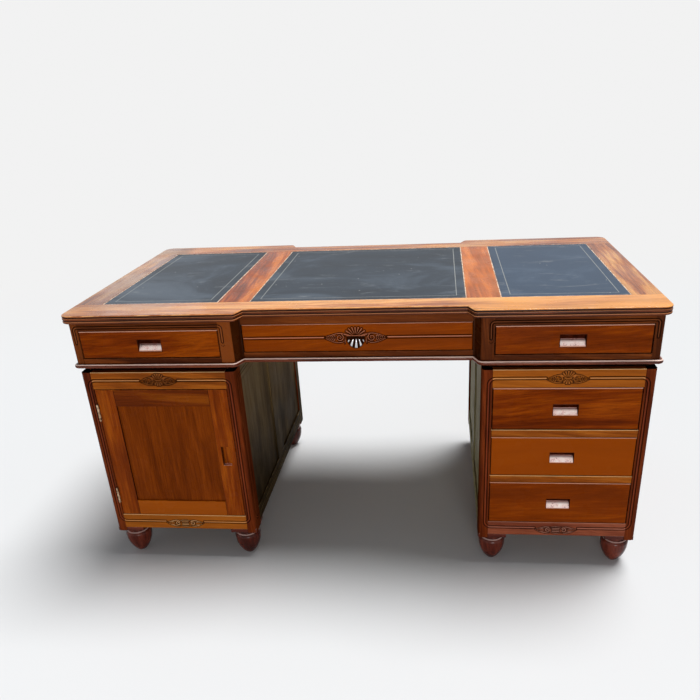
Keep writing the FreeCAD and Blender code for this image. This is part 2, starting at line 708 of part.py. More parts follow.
def make_door(door_leaves):
    """The cupboard door: two stiles, two rails and a panel held in their grooves."""
    thick = ("door_face - front_thickness", "door_face")
    height = ("door_low", "door_high")
    opening = ("door_free + door_stile", "door_hung - door_stile")
    panel = slab(
        "back_door_panel",
        (f"{opening[0]} - panel_tongue", f"{opening[1]} + panel_tongue"),
        ("door_face - panel_sink - panel_thickness", "door_face - panel_sink"),
        ("door_low + door_foot_rail - panel_tongue", "door_high - door_top_rail + panel_tongue"),
    )
    latch_across = ("door_free + latch_edge", "door_free + latch_edge + latch_width")
    latch_low = "(door_low + door_high - latch_height) / 2 - pull_drop"
    latch_up = (latch_low, f"{latch_low} + latch_height")
    latch = [
        slab("latch_mouth", latch_across, ("door_face - latch_depth", "door_face"), latch_up),
        slab(
            "latch_hold",
            ("door_free + latch_edge - pull_undercut", "door_free + latch_edge"),
            ("door_face - latch_depth", "door_face - pull_lip"),
            latch_up,
        ),
    ]
    free_stile = slab("door_free_stile_board", ("door_free", opening[0]), thick, height)
    hung_stile = slab("door_hung_stile_board", (opening[1], "door_hung"), thick, height)
    free_cuts = group("free_stile_cuts", [panel, fused("latch_recess", latch)])
    hung_cuts = group("hung_stile_cuts", [panel] + door_leaves)
    pieces = [
        cut("door_free_stile", free_stile, free_cuts),
        cut("door_hung_stile", hung_stile, hung_cuts),
    ]
    rails = {
        "top": ("door_high - door_top_rail", "door_high"),
        "foot": ("door_low", "door_low + door_foot_rail"),
    }
    for name, up in rails.items():
        board = slab(f"door_{name}_rail_board", opening, thick, up)
        pieces.append(cut(f"door_{name}_rail", board, panel))
    frame = node(group("back_door_frame", pieces))
    leaves = node(group("back_door_hinge_leaves", door_leaves))
    node(panel)
    for name, piece in (("frame", frame), ("hinge_leaves", leaves), ("panel", panel)):
        node(turned(f"front_door_{name}", piece))


def size_of(text):
    """The number behind an alias, or nothing for a point on an axis."""
    return 0 if text == "0" else value(text)


def make_foot():
    """A turned foot: pad, taper, belly, ring, neck and collar."""
    body = doc.addObject("PartDesign::Body", "turned_foot")
    sketch = body.newObject("Sketcher::SketchObject", "foot_outline")
    plane = [item for item in body.Origin.OriginFeatures if item.Role == "XZ_Plane"][0]
    sketch.AttachmentSupport = [(plane, "")]
    sketch.MapMode = "FlatFace"
    stations = [
        ("foot_pad", "0", None),
        ("foot_belly", "belly_high", "taper_bulge"),
        ("foot_ring", "ring_high", "shoulder_bulge"),
        ("foot_neck", "neck_low", None),
        ("foot_neck", "collar_low", None),
        ("foot_collar", "collar_low", None),
        ("foot_collar", "foot_height", None),
        ("0", "foot_height", None),
        ("0", "0", None),
    ]
    points = [Vector(size_of(out), size_of(up), 0) for out, up, bulge in stations]
    count = len(points)
    for number, start in enumerate(points):
        end = points[(number + 1) % count]
        bulge = stations[(number + 1) % count][2]
        if bulge is None:
            sketch.addGeometry(Part.LineSegment(start, end))
            continue
        chord = end - start
        outwards = Vector(chord.y, -chord.x, 0).normalize()
        rise = value(bulge) - math.sqrt(value(bulge) ** 2 - (chord.Length / 2) ** 2)
        sketch.addGeometry(Part.Arc(start, start + chord / 2 + outwards * rise, end))
        radius = sketch.addConstraint(Sketcher.Constraint("Radius", number, value(bulge)))
        sketch.renameConstraint(radius, f"{bulge}_radius")
        sketch.setExpression(f"Constraints.{bulge}_radius", bound(bulge))
    for number in range(count):
        sketch.addConstraint(Sketcher.Constraint("Coincident", number, 2, (number + 1) % count, 1))
    for number, station in enumerate(stations):
        for name, direction, text in zip(("out", "up"), ("DistanceX", "DistanceY"), station):
            size = size_of(text)
            if size == 0:
                axis = -2 if name == "out" else -1
                sketch.addConstraint(Sketcher.Constraint("PointOnObject", number, 1, axis))
                continue
            place = sketch.addConstraint(Sketcher.Constraint(direction, -1, 1, number, 1, size))
            sketch.renameConstraint(place, f"{name}_{number}")
            sketch.setExpression(f"Constraints.{name}_{number}", bound(text))
    turning = body.newObject("PartDesign::Revolution", "foot_turning")
    turning.Profile = sketch
    turning.ReferenceAxis = (sketch, ["V_Axis"])
    turning.Angle = 360
    body.Tip = turning
    bind(body, Placement__Base__x="ped_in + foot_inset", Placement__Base__y="foot_inset - ped_y")
    return body


def on_corners(name, piece):
    """One piece at the right pedestal's inner front corner, repeated at all four corners."""
    beside = mirrored(f"{name}_outer", piece, ALONG_X, "ped_mid")
    front = group(f"{name}_front_pair", [piece, beside])
    return front, mirrored(f"{name}_back_pair", front, ALONG_Y)


def make_pedestals():
    """The right pedestal, drawers to the front and door to the back, and its turned twin."""
    panel_height = ("side_panel_low - panel_tongue", "side_panel_top + panel_tongue")
    panel = slab(
        "side_panel",
        ("ped_in + panel_sink", "ped_in + panel_sink + panel_thickness"),
        ("-post_y - panel_tongue", "-half_muntin + panel_tongue"),
        panel_height,
    )
    panels = group("right_pedestal_side_panels", on_corners("side_panel", panel))

    hinges = [
        make_hinge("upper_hinge", "door_high - hinge_offset"),
        make_hinge("lower_hinge", "door_low + hinge_offset"),
    ]
    door_leaves = [leaves[0] for leaves in hinges]
    post_leaves = group("post_hinge_leaves", [leaves[1] for leaves in hinges])
    pins = group("hinge_pins", [leaves[2] for leaves in hinges])
    make_door(door_leaves)

    post_height = ("foot_height", "ped_top")
    post_section = ("post_width", "post_depth")
    post = rounded_post("post_blank", post_section, ("ped_in", "-ped_y"), post_height, "post_round")
    grooved = cut("post_inner", post, panels)
    front_posts, back_posts = on_corners("post", grooved)
    posts = group("right_pedestal_posts", [front_posts, cut("posts_back_hinged", back_posts, post_leaves)])

    side_run = ("-post_y", "post_y")
    inner_side = ("ped_in", "frame_in")
    members = {
        "top_rail": (side_run, ("side_panel_top", "ped_top")),
        "low_rail": (side_run, ("rail_low", "side_panel_low")),
        "muntin": (("-half_muntin", "half_muntin"), ("side_panel_low", "side_panel_top")),
    }
    frame = []
    for name, (along, up) in members.items():
        frame.append(cut(f"side_{name}", slab(f"side_{name}_board", inner_side, along, up), panels))
    inner_frame = group("side_frame_inner", frame)
    outer_frame = mirrored("side_frame_outer", inner_frame, ALONG_X, "ped_mid")
    frames = group("right_pedestal_side_frames", [inner_frame, outer_frame])

    bay = ("open_in", "open_out")
    front_rail = ("-ped_y", "-ped_y + rail_thickness")
    back_rail = ("ped_y - rail_thickness", "ped_y")
    divider = ("-ped_y", "-ped_y + divider_depth")
    rails = group(
        "right_pedestal_face_rails",
        [
            slab("front_top_rail", bay, front_rail, ("open_top", "ped_top")),
            slab("upper_divider", bay, divider, ("middle_top", "upper_low")),
            slab("lower_divider", bay, divider, ("lower_top", "middle_low")),
            slab("front_low_rail", bay, front_rail, ("rail_low", "open_low")),
            slab("back_top_rail", bay, back_rail, ("open_top", "ped_top")),
            slab("back_low_rail", bay, back_rail, ("rail_low", "door_open_low")),
        ],
    )

    inside = ("frame_in", "frame_out")
    depth = ("-ped_y + rail_thickness", "ped_y - rail_thickness")
    board_heights = {
        "top": ("ped_top - carcase_board", "ped_top"),
        "floor": ("open_low - carcase_board", "open_low"),
    }
    boards = [
        cut(f"pedestal_{name}_board", slab(f"pedestal_{name}_blank", inside, depth, up), posts)
        for name, up in board_heights.items()
    ]
    thin = ("-half_board", "half_board")
    boards.append(slab("pedestal_partition", inside, thin, ("open_low", "ped_top - carcase_board")))
    boards = group("right_pedestal_boards", boards)

    twins = {
        "posts": posts,
        "side_frames": frames,
        "side_panels": panels,
        "face_rails": rails,
        "boards": boards,
    }
    for name, piece in twins.items():
        node(piece)
        node(turned(f"left_pedestal_{name}", piece))

    fixed = group("hinge_leaves_and_pins", [post_leaves, pins])
    node(group("fixed_hinge_leaves_and_pins", [fixed, turned("front_door_fixed_leaves_and_pins", fixed)]))
    make_pedestal_fittings(grooved)


def make_pedestal_fittings(corner_post):
    """Drawer runners, the battens over the pedestals, the corner blocks and the feet."""
    run = ("-ped_y + divider_depth", "-half_board")
    levels = {"upper": ("middle_top", "upper_low"), "middle": ("lower_top", "middle_low")}
    runners = []
    for name, up in levels.items():
        guide = (up[1], f"{up[1]} + guide_height")
        runners.append(slab(f"{name}_runner", ("frame_in", "open_in + runner_width"), run, up))
        runners.append(slab(f"{name}_guide", ("frame_in", "open_in"), run, guide))
    lower = ("open_low", "open_low + guide_height")
    runners.append(slab("lower_guide", ("frame_in", "open_in"), run, lower))
    inner = group("runners_inner", runners)
    both = group("runners_both_sides", [inner, mirrored("runners_outer", inner, ALONG_X, "ped_mid")])
    node(group("pedestal_drawer_runners", [both, turned("runners_turned", both)]))

    gap = ("ped_top", "section_low")
    inset_x = "ped_in + gap_inset"
    inset_y = "ped_y - gap_inset"
    side = slab("side_batten", (inset_x, f"{inset_x} + batten_width"), (f"-({inset_y})", inset_y), gap)
    cross = slab(
        "cross_batten",
        (f"{inset_x} + batten_width", "ped_out - gap_inset - batten_width"),
        (f"-({inset_y})", f"batten_width - ({inset_y})"),
        gap,
    )
    frame = [side, mirrored("side_batten_outer", side, ALONG_X, "ped_mid")]
    frame += [cross, mirrored("cross_batten_back", cross, ALONG_Y)]
    battens = group("battens_right", frame)
    node(group("pedestal_battens", [battens, turned("battens_left", battens)]))

    block = slab(
        "foot_block_blank",
        ("ped_in + block_inset", "ped_in + block_inset + block_width"),
        ("block_inset - ped_y", "block_inset - ped_y + block_width"),
        ("foot_height", "rail_low"),
    )
    blocks = group("blocks_right", on_corners("block", cut("foot_block", block, corner_post)))
    node(group("foot_blocks", [blocks, turned("blocks_left", blocks)]))
    feet = group("feet_right", on_corners("foot", make_foot()))
    node(group("turned_feet", [feet, turned("feet_left", feet)]))


# ---------------------------------------------------------------- build and write


def check():
    """Stop if any object failed, or a sub-part is missing or unsound."""
    for item in doc.Objects:
        faults = [state for state in item.State if state in ("Invalid", "Error")]
        if faults:
            raise RuntimeError(f"{item.Label}: {faults}")
    for item in nodes:
        if item.Shape.isNull() or not item.Shape.isValid() or not item.Shape.Solids:
            raise RuntimeError(f"{item.Label}: no sound solid")


def write():
    """Each sub-part to its own file."""
    os.makedirs("parts", exist_ok=True)
    for item in nodes:
        item.Shape.exportStep(f"parts/{item.Label}.step")
    solids = sum(len(item.Shape.Solids) for item in nodes)
    print(f"{len(nodes)} sub-parts, {solids} solids")


make_top()
make_frieze_frame()
make_frieze_carcase()
make_bead()
make_drawers()
make_pedestals()
doc.recompute()
check()
write()
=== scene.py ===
import json
import math

import bmesh
import bpy
import numpy as np
from mathutils import Matrix, Vector

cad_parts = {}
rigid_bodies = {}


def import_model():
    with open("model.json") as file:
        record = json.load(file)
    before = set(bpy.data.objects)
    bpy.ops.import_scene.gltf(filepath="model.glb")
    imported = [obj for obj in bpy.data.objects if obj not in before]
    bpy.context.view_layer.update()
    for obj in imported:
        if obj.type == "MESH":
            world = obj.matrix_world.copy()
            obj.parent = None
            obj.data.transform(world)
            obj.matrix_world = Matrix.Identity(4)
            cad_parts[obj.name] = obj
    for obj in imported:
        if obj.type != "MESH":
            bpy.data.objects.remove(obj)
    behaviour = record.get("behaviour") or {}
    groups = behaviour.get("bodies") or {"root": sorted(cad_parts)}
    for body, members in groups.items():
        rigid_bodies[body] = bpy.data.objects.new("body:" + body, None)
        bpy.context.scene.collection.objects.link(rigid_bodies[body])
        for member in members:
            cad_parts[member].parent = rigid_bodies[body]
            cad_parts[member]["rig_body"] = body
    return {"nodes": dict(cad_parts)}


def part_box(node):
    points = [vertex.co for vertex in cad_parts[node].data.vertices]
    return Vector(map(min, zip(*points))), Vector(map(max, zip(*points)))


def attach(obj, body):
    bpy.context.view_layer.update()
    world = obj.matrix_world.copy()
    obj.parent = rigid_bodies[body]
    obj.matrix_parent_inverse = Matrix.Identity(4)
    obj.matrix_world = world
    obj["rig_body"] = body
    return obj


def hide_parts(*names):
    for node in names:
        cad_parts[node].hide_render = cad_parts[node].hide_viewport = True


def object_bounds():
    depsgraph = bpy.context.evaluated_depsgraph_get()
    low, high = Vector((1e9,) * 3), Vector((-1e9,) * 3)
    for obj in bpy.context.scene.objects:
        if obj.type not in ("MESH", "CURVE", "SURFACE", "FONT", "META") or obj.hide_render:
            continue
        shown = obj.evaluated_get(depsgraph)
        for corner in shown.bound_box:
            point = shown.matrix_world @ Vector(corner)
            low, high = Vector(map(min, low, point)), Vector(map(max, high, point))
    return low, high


# The looks of a mahogany partners desk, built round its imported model. Metres, +X to the right, front
# towards -Y, +Z up. The desk looks the same when it is turned half a turn about Z, so each carved piece
# of the back face is a turned copy of the one in front.

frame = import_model()
cad_low, cad_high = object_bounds()

MM = 0.001
X, Y, Z = 0, 1, 2

# ---------------------------------------------------------------- sizes

TOP_LOW, TOP_HIGH = (corner.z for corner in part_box("top_front_border"))
TOP_X = cad_high.x
TOP_Y = cad_high.y
LEATHER_Y = -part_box("top_front_border")[1].y
LEATHER_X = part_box("leather_right")[1].x
FRIEZE_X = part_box("frieze_end_panels")[1].x
FRIEZE_Y = -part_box("frieze_front_frame")[0].y
FRIEZE_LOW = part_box("frieze_front_frame")[0].z
BEAD_LOW, BEAD_HIGH = (corner.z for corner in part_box("frieze_bead_moulding"))
PEDESTAL_Y = -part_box("right_pedestal_posts")[0].y
PEDESTAL_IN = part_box("right_pedestal_posts")[0].x
PEDESTAL_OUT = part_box("right_pedestal_posts")[1].x
PEDESTAL_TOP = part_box("right_pedestal_posts")[1].z
FOOT_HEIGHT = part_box("turned_feet")[1].z
RAIL_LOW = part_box("right_pedestal_face_rails")[0].z

RECESS_DEPTH = 36 * MM
RECESS_SPLAY = 15 * MM
TOP_RETURN_X = 288 * MM
TOP_CORNER_ROUND = 28 * MM
TOP_RETURN_ROUND = 12 * MM
TOP_INNER_ROUND = 2 * MM
FRIEZE_RETURN_X = 307 * MM
FRIEZE_OUTER_STILE = 22 * MM
FRIEZE_INNER_STILE = 33 * MM
FRIEZE_CHEEK_LAND = 4 * MM
FRIEZE_CHEEK_BACK = 20 * MM
FRIEZE_STILE_DEPTH = 24 * MM
FRIEZE_TOP_RAIL = 25 * MM
FRIEZE_LOW_RAIL = 14 * MM
FRIEZE_ROUND = 6 * MM
CHEEK_SHADE_TONE = -0.8  # of the slanted cheeks of the frieze's inner stiles, darker as painted shade
FRIEZE_STILE_ROUND = 8 * MM
RAIL_THICKNESS = 22 * MM
BEAD_REACH = 9 * MM
BEAD_ROUND = 6 * MM
CREST_FROM, CREST_TO = 0.62, 0.82  # the part of the bead that takes a painted highlight, as shares of its section from below

POST_WIDTH = 27.5 * MM
POST_DEPTH = 50 * MM
POST_ROUND = 10 * MM
TOP_RAIL = 51 * MM
DRAWER_LOW_RAIL = 44 * MM
DOOR_LOW_RAIL = 48 * MM
SIDE_FRAME = 20 * MM
SIDE_TOP_RAIL = 47 * MM
SIDE_LOW_RAIL = 48 * MM

REED_GAP = 3.75 * MM  # from the middle of a pair of grooves to each groove
REED_WIDE = 1.7 * MM  # half the width of a groove
REED_DEEP = 1.7 * MM
GROOVE_POWER = 0.8  # under 1, so that a groove's section is full
REED_HIGHLIGHT = 0.6  # how strong the painted highlight on the reed between two grooves is
BREAK_HALF = 3 * REED_GAP  # a carving breaks a line of grooves only this near to the line
CREST = -0.02 * MM  # the mark of a rib or a reed that takes a painted highlight
CREST_MARK = -0.25  # what a crest writes in the hollow attribute
CREST_SIDE = 1.55  # in half widths of a groove, from its middle to the crest
FRAME_INSET = 17.5 * MM  # the middle of the pair, from a pedestal's side
FRAME_TOP = 24.25 * MM  # from the pedestal's top
FRAME_LOW = 37.25 * MM  # from the post's foot
FRAME_ROUND = 18 * MM
FRIEZE_REED_Z = 743 * MM
FRIEZE_REED_END = 699 * MM
FRIEZE_REED_IN = 346 * MM
FRIEZE_REED_OUT = 748 * MM
FRIEZE_REED_GAP = 3.2 * MM
FRIEZE_END_REED = 370 * MM
FRIEZE_REED_ROUND = 9 * MM
FRIEZE_FINE = (  # the heights between which it is finely sampled
    (FRIEZE_REED_END - 16 * MM, FRIEZE_REED_END + 6 * MM),
    (FRIEZE_REED_Z - 13 * MM, FRIEZE_REED_Z + 6 * MM),
)
FAR_DOWN = 200 * MM  # takes the lower line of the frieze's frame of grooves off the wood
DRAWER_REED_Z = 694.6 * MM
NOTCH_REACH = 5.2  # of the notch under the frieze's grooves, from its middle, in millimetres
NOTCH_DOWN = 13.0  # from the grooves' end to its point
NOTCH_SLOPE = 0.9  # of its cuts, up from the point
NOTCH_HALF = 1.2  # half the width of its cuts
NOTCH_DEEP = 1.3 * MM

ARRIS = 0.6 * MM
ROUND_ARRIS = 1.6 * MM  # a corner this small is an arris, which takes painted shade
WELD = 1e-6
CLEAR = 10 * WELD
JOINT = 0.15 * MM  # half the gap between two boards of the top
PLAIN_SAMPLE = 8 * MM
COARSE_SAMPLE = 0.8 * MM
FINE_SAMPLE = 0.6 * MM
CARVED_SAMPLE = 0.46 * MM
RAIL_SAMPLE = 0.53 * MM
NEARLY_SAME = 0.12 * MM
CARVED_GROUND = 1.7 * MM
RIB_CREST = 0.93  # of a rib's height, above which it takes a painted highlight
RIB_POWER = 3  # the higher, the squarer a rib's section
RIB_RISE = 1.04  # over 1, so that a rib reaches the face beside its middle too
TOP_REED_DEEP = 2.4 * MM
TOP_ROUND = 3.0 * MM
EDGE_WOOD_TOP = TOP_HIGH - 1.2 * MM  # the edge's wood ends here
REEDS_TOP = TOP_HIGH - 4 * MM  # and its grooves, which take painted shade, lie below this
LOWER_REEDS = ((TOP_LOW, 764.6 * MM), (765.6 * MM, 773.6 * MM))
UPPER_REED = 774.6 * MM
UPPER_REED_RISE = 1.4 * MM
REED_POWER = 1.15  # over 1, so that the section of the top's reeds is full
# Where each reed of the top's edge takes a painted highlight.
REED_CRESTS = ((762.4 * MM, 764.2 * MM), (771.2 * MM, 773.2 * MM), (777.6 * MM, 779.9 * MM))
LEATHER_ROUND = 0.5 * MM
RUBBED_EDGE = 2.8 * MM  # of a leather, from its side
TOOLED_INSET = 26 * MM
TOOLED_WIDE = 1.7 * MM
TOOLED_DEEP = 0.25 * MM
TOOLED_SLOPE = 0.3 * MM
HALF_MUNTIN = 44 * MM
FOOT_INSET = 42 * MM
# The ring of each foot that takes a painted highlight.
FOOT_CREST = (74.4 * MM, 76.8 * MM)
BACK_FOOT_SHADE = -0.5  # the tone of the four feet at the back, darker as painted shade
FRONT_ROUND = 2.0 * MM
RAIL_ARRIS = 1.3 * MM
ARRIS_REACH = 1.05 * RAIL_ARRIS  # how far from a board's end its arris is marked: a painted highlight with some wear along the upper one, painted shade along the lower one
LEAF_CLEARANCE = 0.05 * MM  # keeps a post's face off the hinge leaf let into it
LATCH_SILL = (320 * MM, 330 * MM)
LATCH_X = (370.5 * MM, 396.5 * MM)
LATCH_Z = (331 * MM, 385 * MM)
PANEL_X = (406 * MM, 681 * MM)
PANEL_Z = (202 * MM, 514 * MM)
DRAWER_BAR_Z = 698.5 * MM
DRAWER_CARVING = 83 * MM
DRAWER_FINE = 86 * MM  # finely sampled each side of the middle
CARVED_DRAWER = "frieze_middle"
DRAWERS = {  # with the tone of each front
    "frieze_left": 0, CARVED_DRAWER: 0.45, "frieze_right": 0.1,
    "pedestal_upper": 0, "pedestal_middle": 0.85, "pedestal_lower": 0.22,
}
PULL_DEPTH = 12 * MM
PULL_BEHIND = 16 * MM  # no point of a drawer's recess lies further behind its face
PULL_HALF = (40 * MM, 30 * MM)  # or further from its middle, across and up
WALL_BEHIND = 14 * MM  # the same for the middles of its walls
WALL_HALF = (32 * MM, 25 * MM)
DOOR_MIDDLE = 350 * MM
DOOR_BAND = 50 * MM  # a board whose middle is as high as the door's, give or take this, is a stile
DOOR_TONES = (0.75, 0.05, -0.42)  # of a door's lower rail, its stiles and its upper rail

TOP_CARVING_HALF = 55 * MM
LOW_CARVING_HALF = 60 * MM
PEDESTAL_MID = (PEDESTAL_IN + PEDESTAL_OUT) / 2
PEDESTAL_LINES = (FOOT_HEIGHT + FRAME_LOW, PEDESTAL_TOP - FRAME_TOP)
BOWL_HALF = 25 * MM
BOWL_TOP = 696.5 * MM
BOWL_DROP = 33 * MM
BOWL_DEEP = 12 * MM
FLUTE_MEET = 12 * MM  # from the bowl's top up to where its flutes' lines meet
FLUTE_TURN = math.radians(19)
FLUTE_SHARE = 0.28  # how much shallower the bowl is between two flutes
LIT_DOWN, LIT_OUT, LIT_WIDE = 0.34, 0.97, 0.95  # where the flutes take a painted highlight, as shares of the bowl
CARVING_REACH = (90, 32)  # no carving reaches further from its middle, in millimetres
FAR_OFF = 99.0  # further than any place near a carving is from its ribs
GROUND_REACH = 0.9  # how far the sunken ground reaches round the ribs, in millimetres
GROUND_SLOPE = 0.7  # how wide it rises again

FACING = 0.999  # of the normal of a face that looks straight along an axis
NEARLY = 0.9  # and of one that nearly does
TILTED = 0.2  # the sloping floor of a drawer's recess looks up by more than this
STEEP = 0.4  # and along Y by more than this, as the walls round a recess or a panel don't
LOOKS_UP = 0.25  # of the normal of an arris that takes a painted highlight with some wear; other arrises take painted shade
ROUND_STEP = math.radians(12)  # the widest turn between two points of a rounded corner
FLAT_ANGLE = math.radians(1)
ARRIS_ANGLE = math.radians(30)
SHARP_ANGLE = math.radians(50)
GRAIN_STEP = np.array((0.731, 1.317, 0.577))  # metres of grain from one board to the next
GRAIN_SPAN = 7.0

WHITE = 0.887  # the background
FLOOR_SHADE = (0.730, 0.740, 0.747, 1)
WORLD_SHADE = (0.97, 1, 1.035, 1)
WORLD_LIGHT = 0.17
FLOOR_HALF = 40
FLOOR_FADE = (1.8, 4.2)
CAMERA_PLACE = (0.2203488, -2.0066752, 1.2900384)
CAMERA_TURN = (0.4347758, -0.1210263, 0.0534626)  # pitch down, yaw and roll

# ---------------------------------------------------------------- boards


class Board:
    """A closed piece of wood: the direction of its grain, how carved each point is, which also sets painted
    shade in hollows and a painted highlight on crests, and each face's edge mark: 1 for a painted highlight
    with some wear, -1 for painted shade.
    finish is the number of a material and tone how light the wood is, for the board or for each face."""

    def __init__(self, points, faces, along, hollow=0.0, edge=0.0, finish=0, tone=0.0):
        self.points = np.asarray(points, float)
        self.faces = faces
        self.along = along
        self.hollow = np.zeros(len(points)) + hollow
        self.edge = np.zeros(len(faces)) + edge
        self.finish = finish
        self.tone = tone

    def moved(self, points, faces):
        """A board that differs in its points and faces only."""
        return Board(points, faces, self.along, self.hollow, self.edge, self.finish, self.tone)

    def turned(self):
        """The same board on the other side of the desk, half a turn about Z."""
        return self.moved(self.points * (-1, -1, 1), self.faces)

    def mirrored(self, centre=0.0):
        """The same board reflected in the upright plane at x = centre."""
        points = self.points * (-1, 1, 1) + (2 * centre, 0, 0)
        return self.moved(points, [tuple(face[::-1]) for face in self.faces])

    def middles(self, axis):
        """Where the middle of each face lies along an axis."""
        return np.array([self.points[list(face), axis].mean() for face in self.faces])

    def grain(self, number):
        """Each point as (along the grain, across it, through the board), from a place of its own."""
        order = {X: (0, 2, 1), Y: (1, 0, 2), Z: (2, 0, 1)}[self.along]
        return self.points[:, order] + GRAIN_STEP * number % GRAIN_SPAN


def closed_solids(mesh):
    """The faces of each closed solid, as corner places, of a mesh whose solids follow one another."""
    places = [tuple(round(part / WELD) for part in vert.co) for vert in mesh.vertices]
    group = []
    unpaired = set()
    for face in mesh.polygons:
        ring = [places[corner] for corner in face.vertices]
        group.append([tuple(mesh.vertices[corner].co) for corner in face.vertices])
        for start, end in zip(ring, ring[1:] + ring[:1]):
            unpaired ^= {(min(start, end), max(start, end))}
        if not unpaired:
            yield group
            group = []


def solid_boards(node, along=None, radius=ARRIS, segments=2, finish=None, tone=None):
    """The solids of a CAD node as boards with softened arrises. The grain runs along a board's longest
    side unless along is given. finish picks a face's material from its centre and normal, and tone a
    board's tone from its middle."""
    boards = []
    for group in closed_solids(frame["nodes"][node].data):
        solid = bmesh.new()
        for face in group:
            solid.faces.new([solid.verts.new(corner) for corner in face])
        bmesh.ops.remove_doubles(solid, verts=solid.verts, dist=WELD)
        bmesh.ops.dissolve_limit(solid, angle_limit=FLAT_ANGLE, verts=solid.verts, edges=solid.edges)
        shared = [edge for edge in solid.edges if len(edge.link_faces) == 2]
        sharp = [edge for edge in shared if edge.calc_face_angle(0) > ARRIS_ANGLE]
        made = bmesh.ops.bevel(
            solid, geom=sharp, offset=radius, segments=segments, profile=0.5, affect="EDGES",
            clamp_overlap=True,
        )
        wear_and_painted_light = set(made["faces"])
        solid.verts.index_update()
        solid.normal_update()
        points = np.array([tuple(vert.co) for vert in solid.verts])
        faces = [tuple(vert.index for vert in face.verts) for face in solid.faces]
        direction = int(np.ptp(points, axis=0).argmax()) if along is None else along
        # Arris faces that look up take a painted highlight with some wear, the others painted shade.
        edge = [(1 if face.normal.z > LOOKS_UP else -1) if face in wear_and_painted_light else 0 for face in solid.faces]
        kinds = 0
        if finish:
            kinds = [finish(face.calc_center_median(), face.normal) for face in solid.faces]
        shade = tone((points.min(0) + points.max(0)) / 2) if tone else 0.0
        boards.append(Board(points, faces, direction, edge=edge, finish=kinds, tone=shade))
        solid.free()
    return boards


def place_object(name, data):
    """A new object in the scene."""
    made = bpy.data.objects.new(name, data)
    bpy.context.scene.collection.objects.link(made)
    return made


def make_piece(name, boards, finishes, nodes, slot):
    """One object of the boards, riding on the body of the CAD nodes that it stands for."""
    faces, grain = [], []
    first = 0
    for number, board in enumerate(boards):
        faces += [tuple(corner + first for corner in face) for face in board.faces]
        first += len(board.points)
        grain.append(board.grain(number + len(name)))
    mesh = bpy.data.meshes.new(name)
    mesh.from_pydata(np.concatenate([board.points for board in boards]).tolist(), [], faces)

    def each_face(field):
        return np.concatenate([np.full(len(board.faces), getattr(board, field)) for board in boards])

    def write(label, kind, domain, field, values):
        attribute = mesh.attributes.new(label, kind, domain)
        attribute.data.foreach_set(field, np.asarray(values, np.float32).ravel())

    write("grain", "FLOAT_VECTOR", "POINT", "vector", np.concatenate(grain))
    write("hollow", "FLOAT", "POINT", "value", np.concatenate([board.hollow for board in boards]))
    write("edge", "FLOAT", "FACE", "value", each_face("edge"))
    write("tone", "FLOAT", "FACE", "value", each_face("tone"))
    for material in finishes:
        mesh.materials.append(material)
    mesh.polygons.foreach_set("material_index", each_face("finish").astype(np.int32))
    mesh.polygons.foreach_set("use_smooth", np.ones(len(faces), bool))
    mesh.update()
    mesh.set_sharp_from_angle(angle=SHARP_ANGLE)
    piece = place_object(name, mesh)
    normals = piece.modifiers.new("flat_faces_stay_flat", "WEIGHTED_NORMAL")
    normals.keep_sharp = True
    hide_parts(*nodes)
    body = frame["nodes"][nodes[0]]["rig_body"]
    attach(piece, body)


# ---------------------------------------------------------------- skins: boards with a carved face


def outline(corners, stops=()):
    """A closed outline in plan, anticlockwise, from (x, y, radius) corners. stops has, for some sides,
    the places along that side, in metres from its start, where points are wanted. Gives the points,
    their outward normals, scaled so that a sharp corner keeps its mitre, and which lie on an arris."""
    stops = dict(stops)
    place = [np.array(corner[:2], float) for corner in corners]
    sides = [end - start for start, end in zip(place, place[1:] + place[:1])]
    lengths = [np.linalg.norm(side) for side in sides]
    ways = [side / length for side, length in zip(sides, lengths)]
    turns, trims = [], []
    for number, after in enumerate(ways):
        before = ways[number - 1]
        turns.append(math.atan2(before[0] * after[1] - before[1] * after[0], before @ after))
        trims.append(corners[number][2] * abs(math.tan(turns[-1] / 2)))
    made = []
    for number, (before, after) in enumerate(zip(ways[-1:] + ways, ways)):
        first, second = (np.array((way[1], -way[0])) for way in (before, after))
        radius, turn, trim = corners[number][2], turns[number], trims[number]
        if radius == 0:
            made.append((place[number], (first + second) / (1 + first @ second), False))
        else:
            steps = max(3, math.ceil(abs(turn) / ROUND_STEP))
            side = 1 if turn > 0 else -1
            centre = place[number] - before * trim - first * radius * side
            for step in range(steps + 1):
                angle = turn * step / steps
                cos, sin = math.cos(angle), math.sin(angle)
                normal = np.array((first[0] * cos - first[1] * sin, first[0] * sin + first[1] * cos))
                on_arris = radius < ROUND_ARRIS and step < steps
                made.append((centre + normal * radius * side, normal, on_arris))
        end = lengths[number] - trims[(number + 1) % len(corners)] - CLEAR
        for stop in sorted(stops.get(number, ())):
            if trim + CLEAR < stop < end:
                made.append((place[number] + after * stop, second, False))
    return tuple(np.array(row) for row in zip(*made))


def tube_faces(rings, count, flipped=False):
    """The faces round rings of count points that follow one another, and those of the two ends."""
    faces = []
    for first in range(0, (rings - 1) * count, count):
        second = first + count
        for place in range(count):
            after = (place + 1) % count
            face = (first + place, first + after, second + after, second + place)
            faces.append((face[0], face[3], face[2], face[1]) if flipped else face)
    faces.append(tuple(range(count - 1, -1, -1)))
    faces.append(tuple((rings - 1) * count + place for place in range(count)))
    return faces


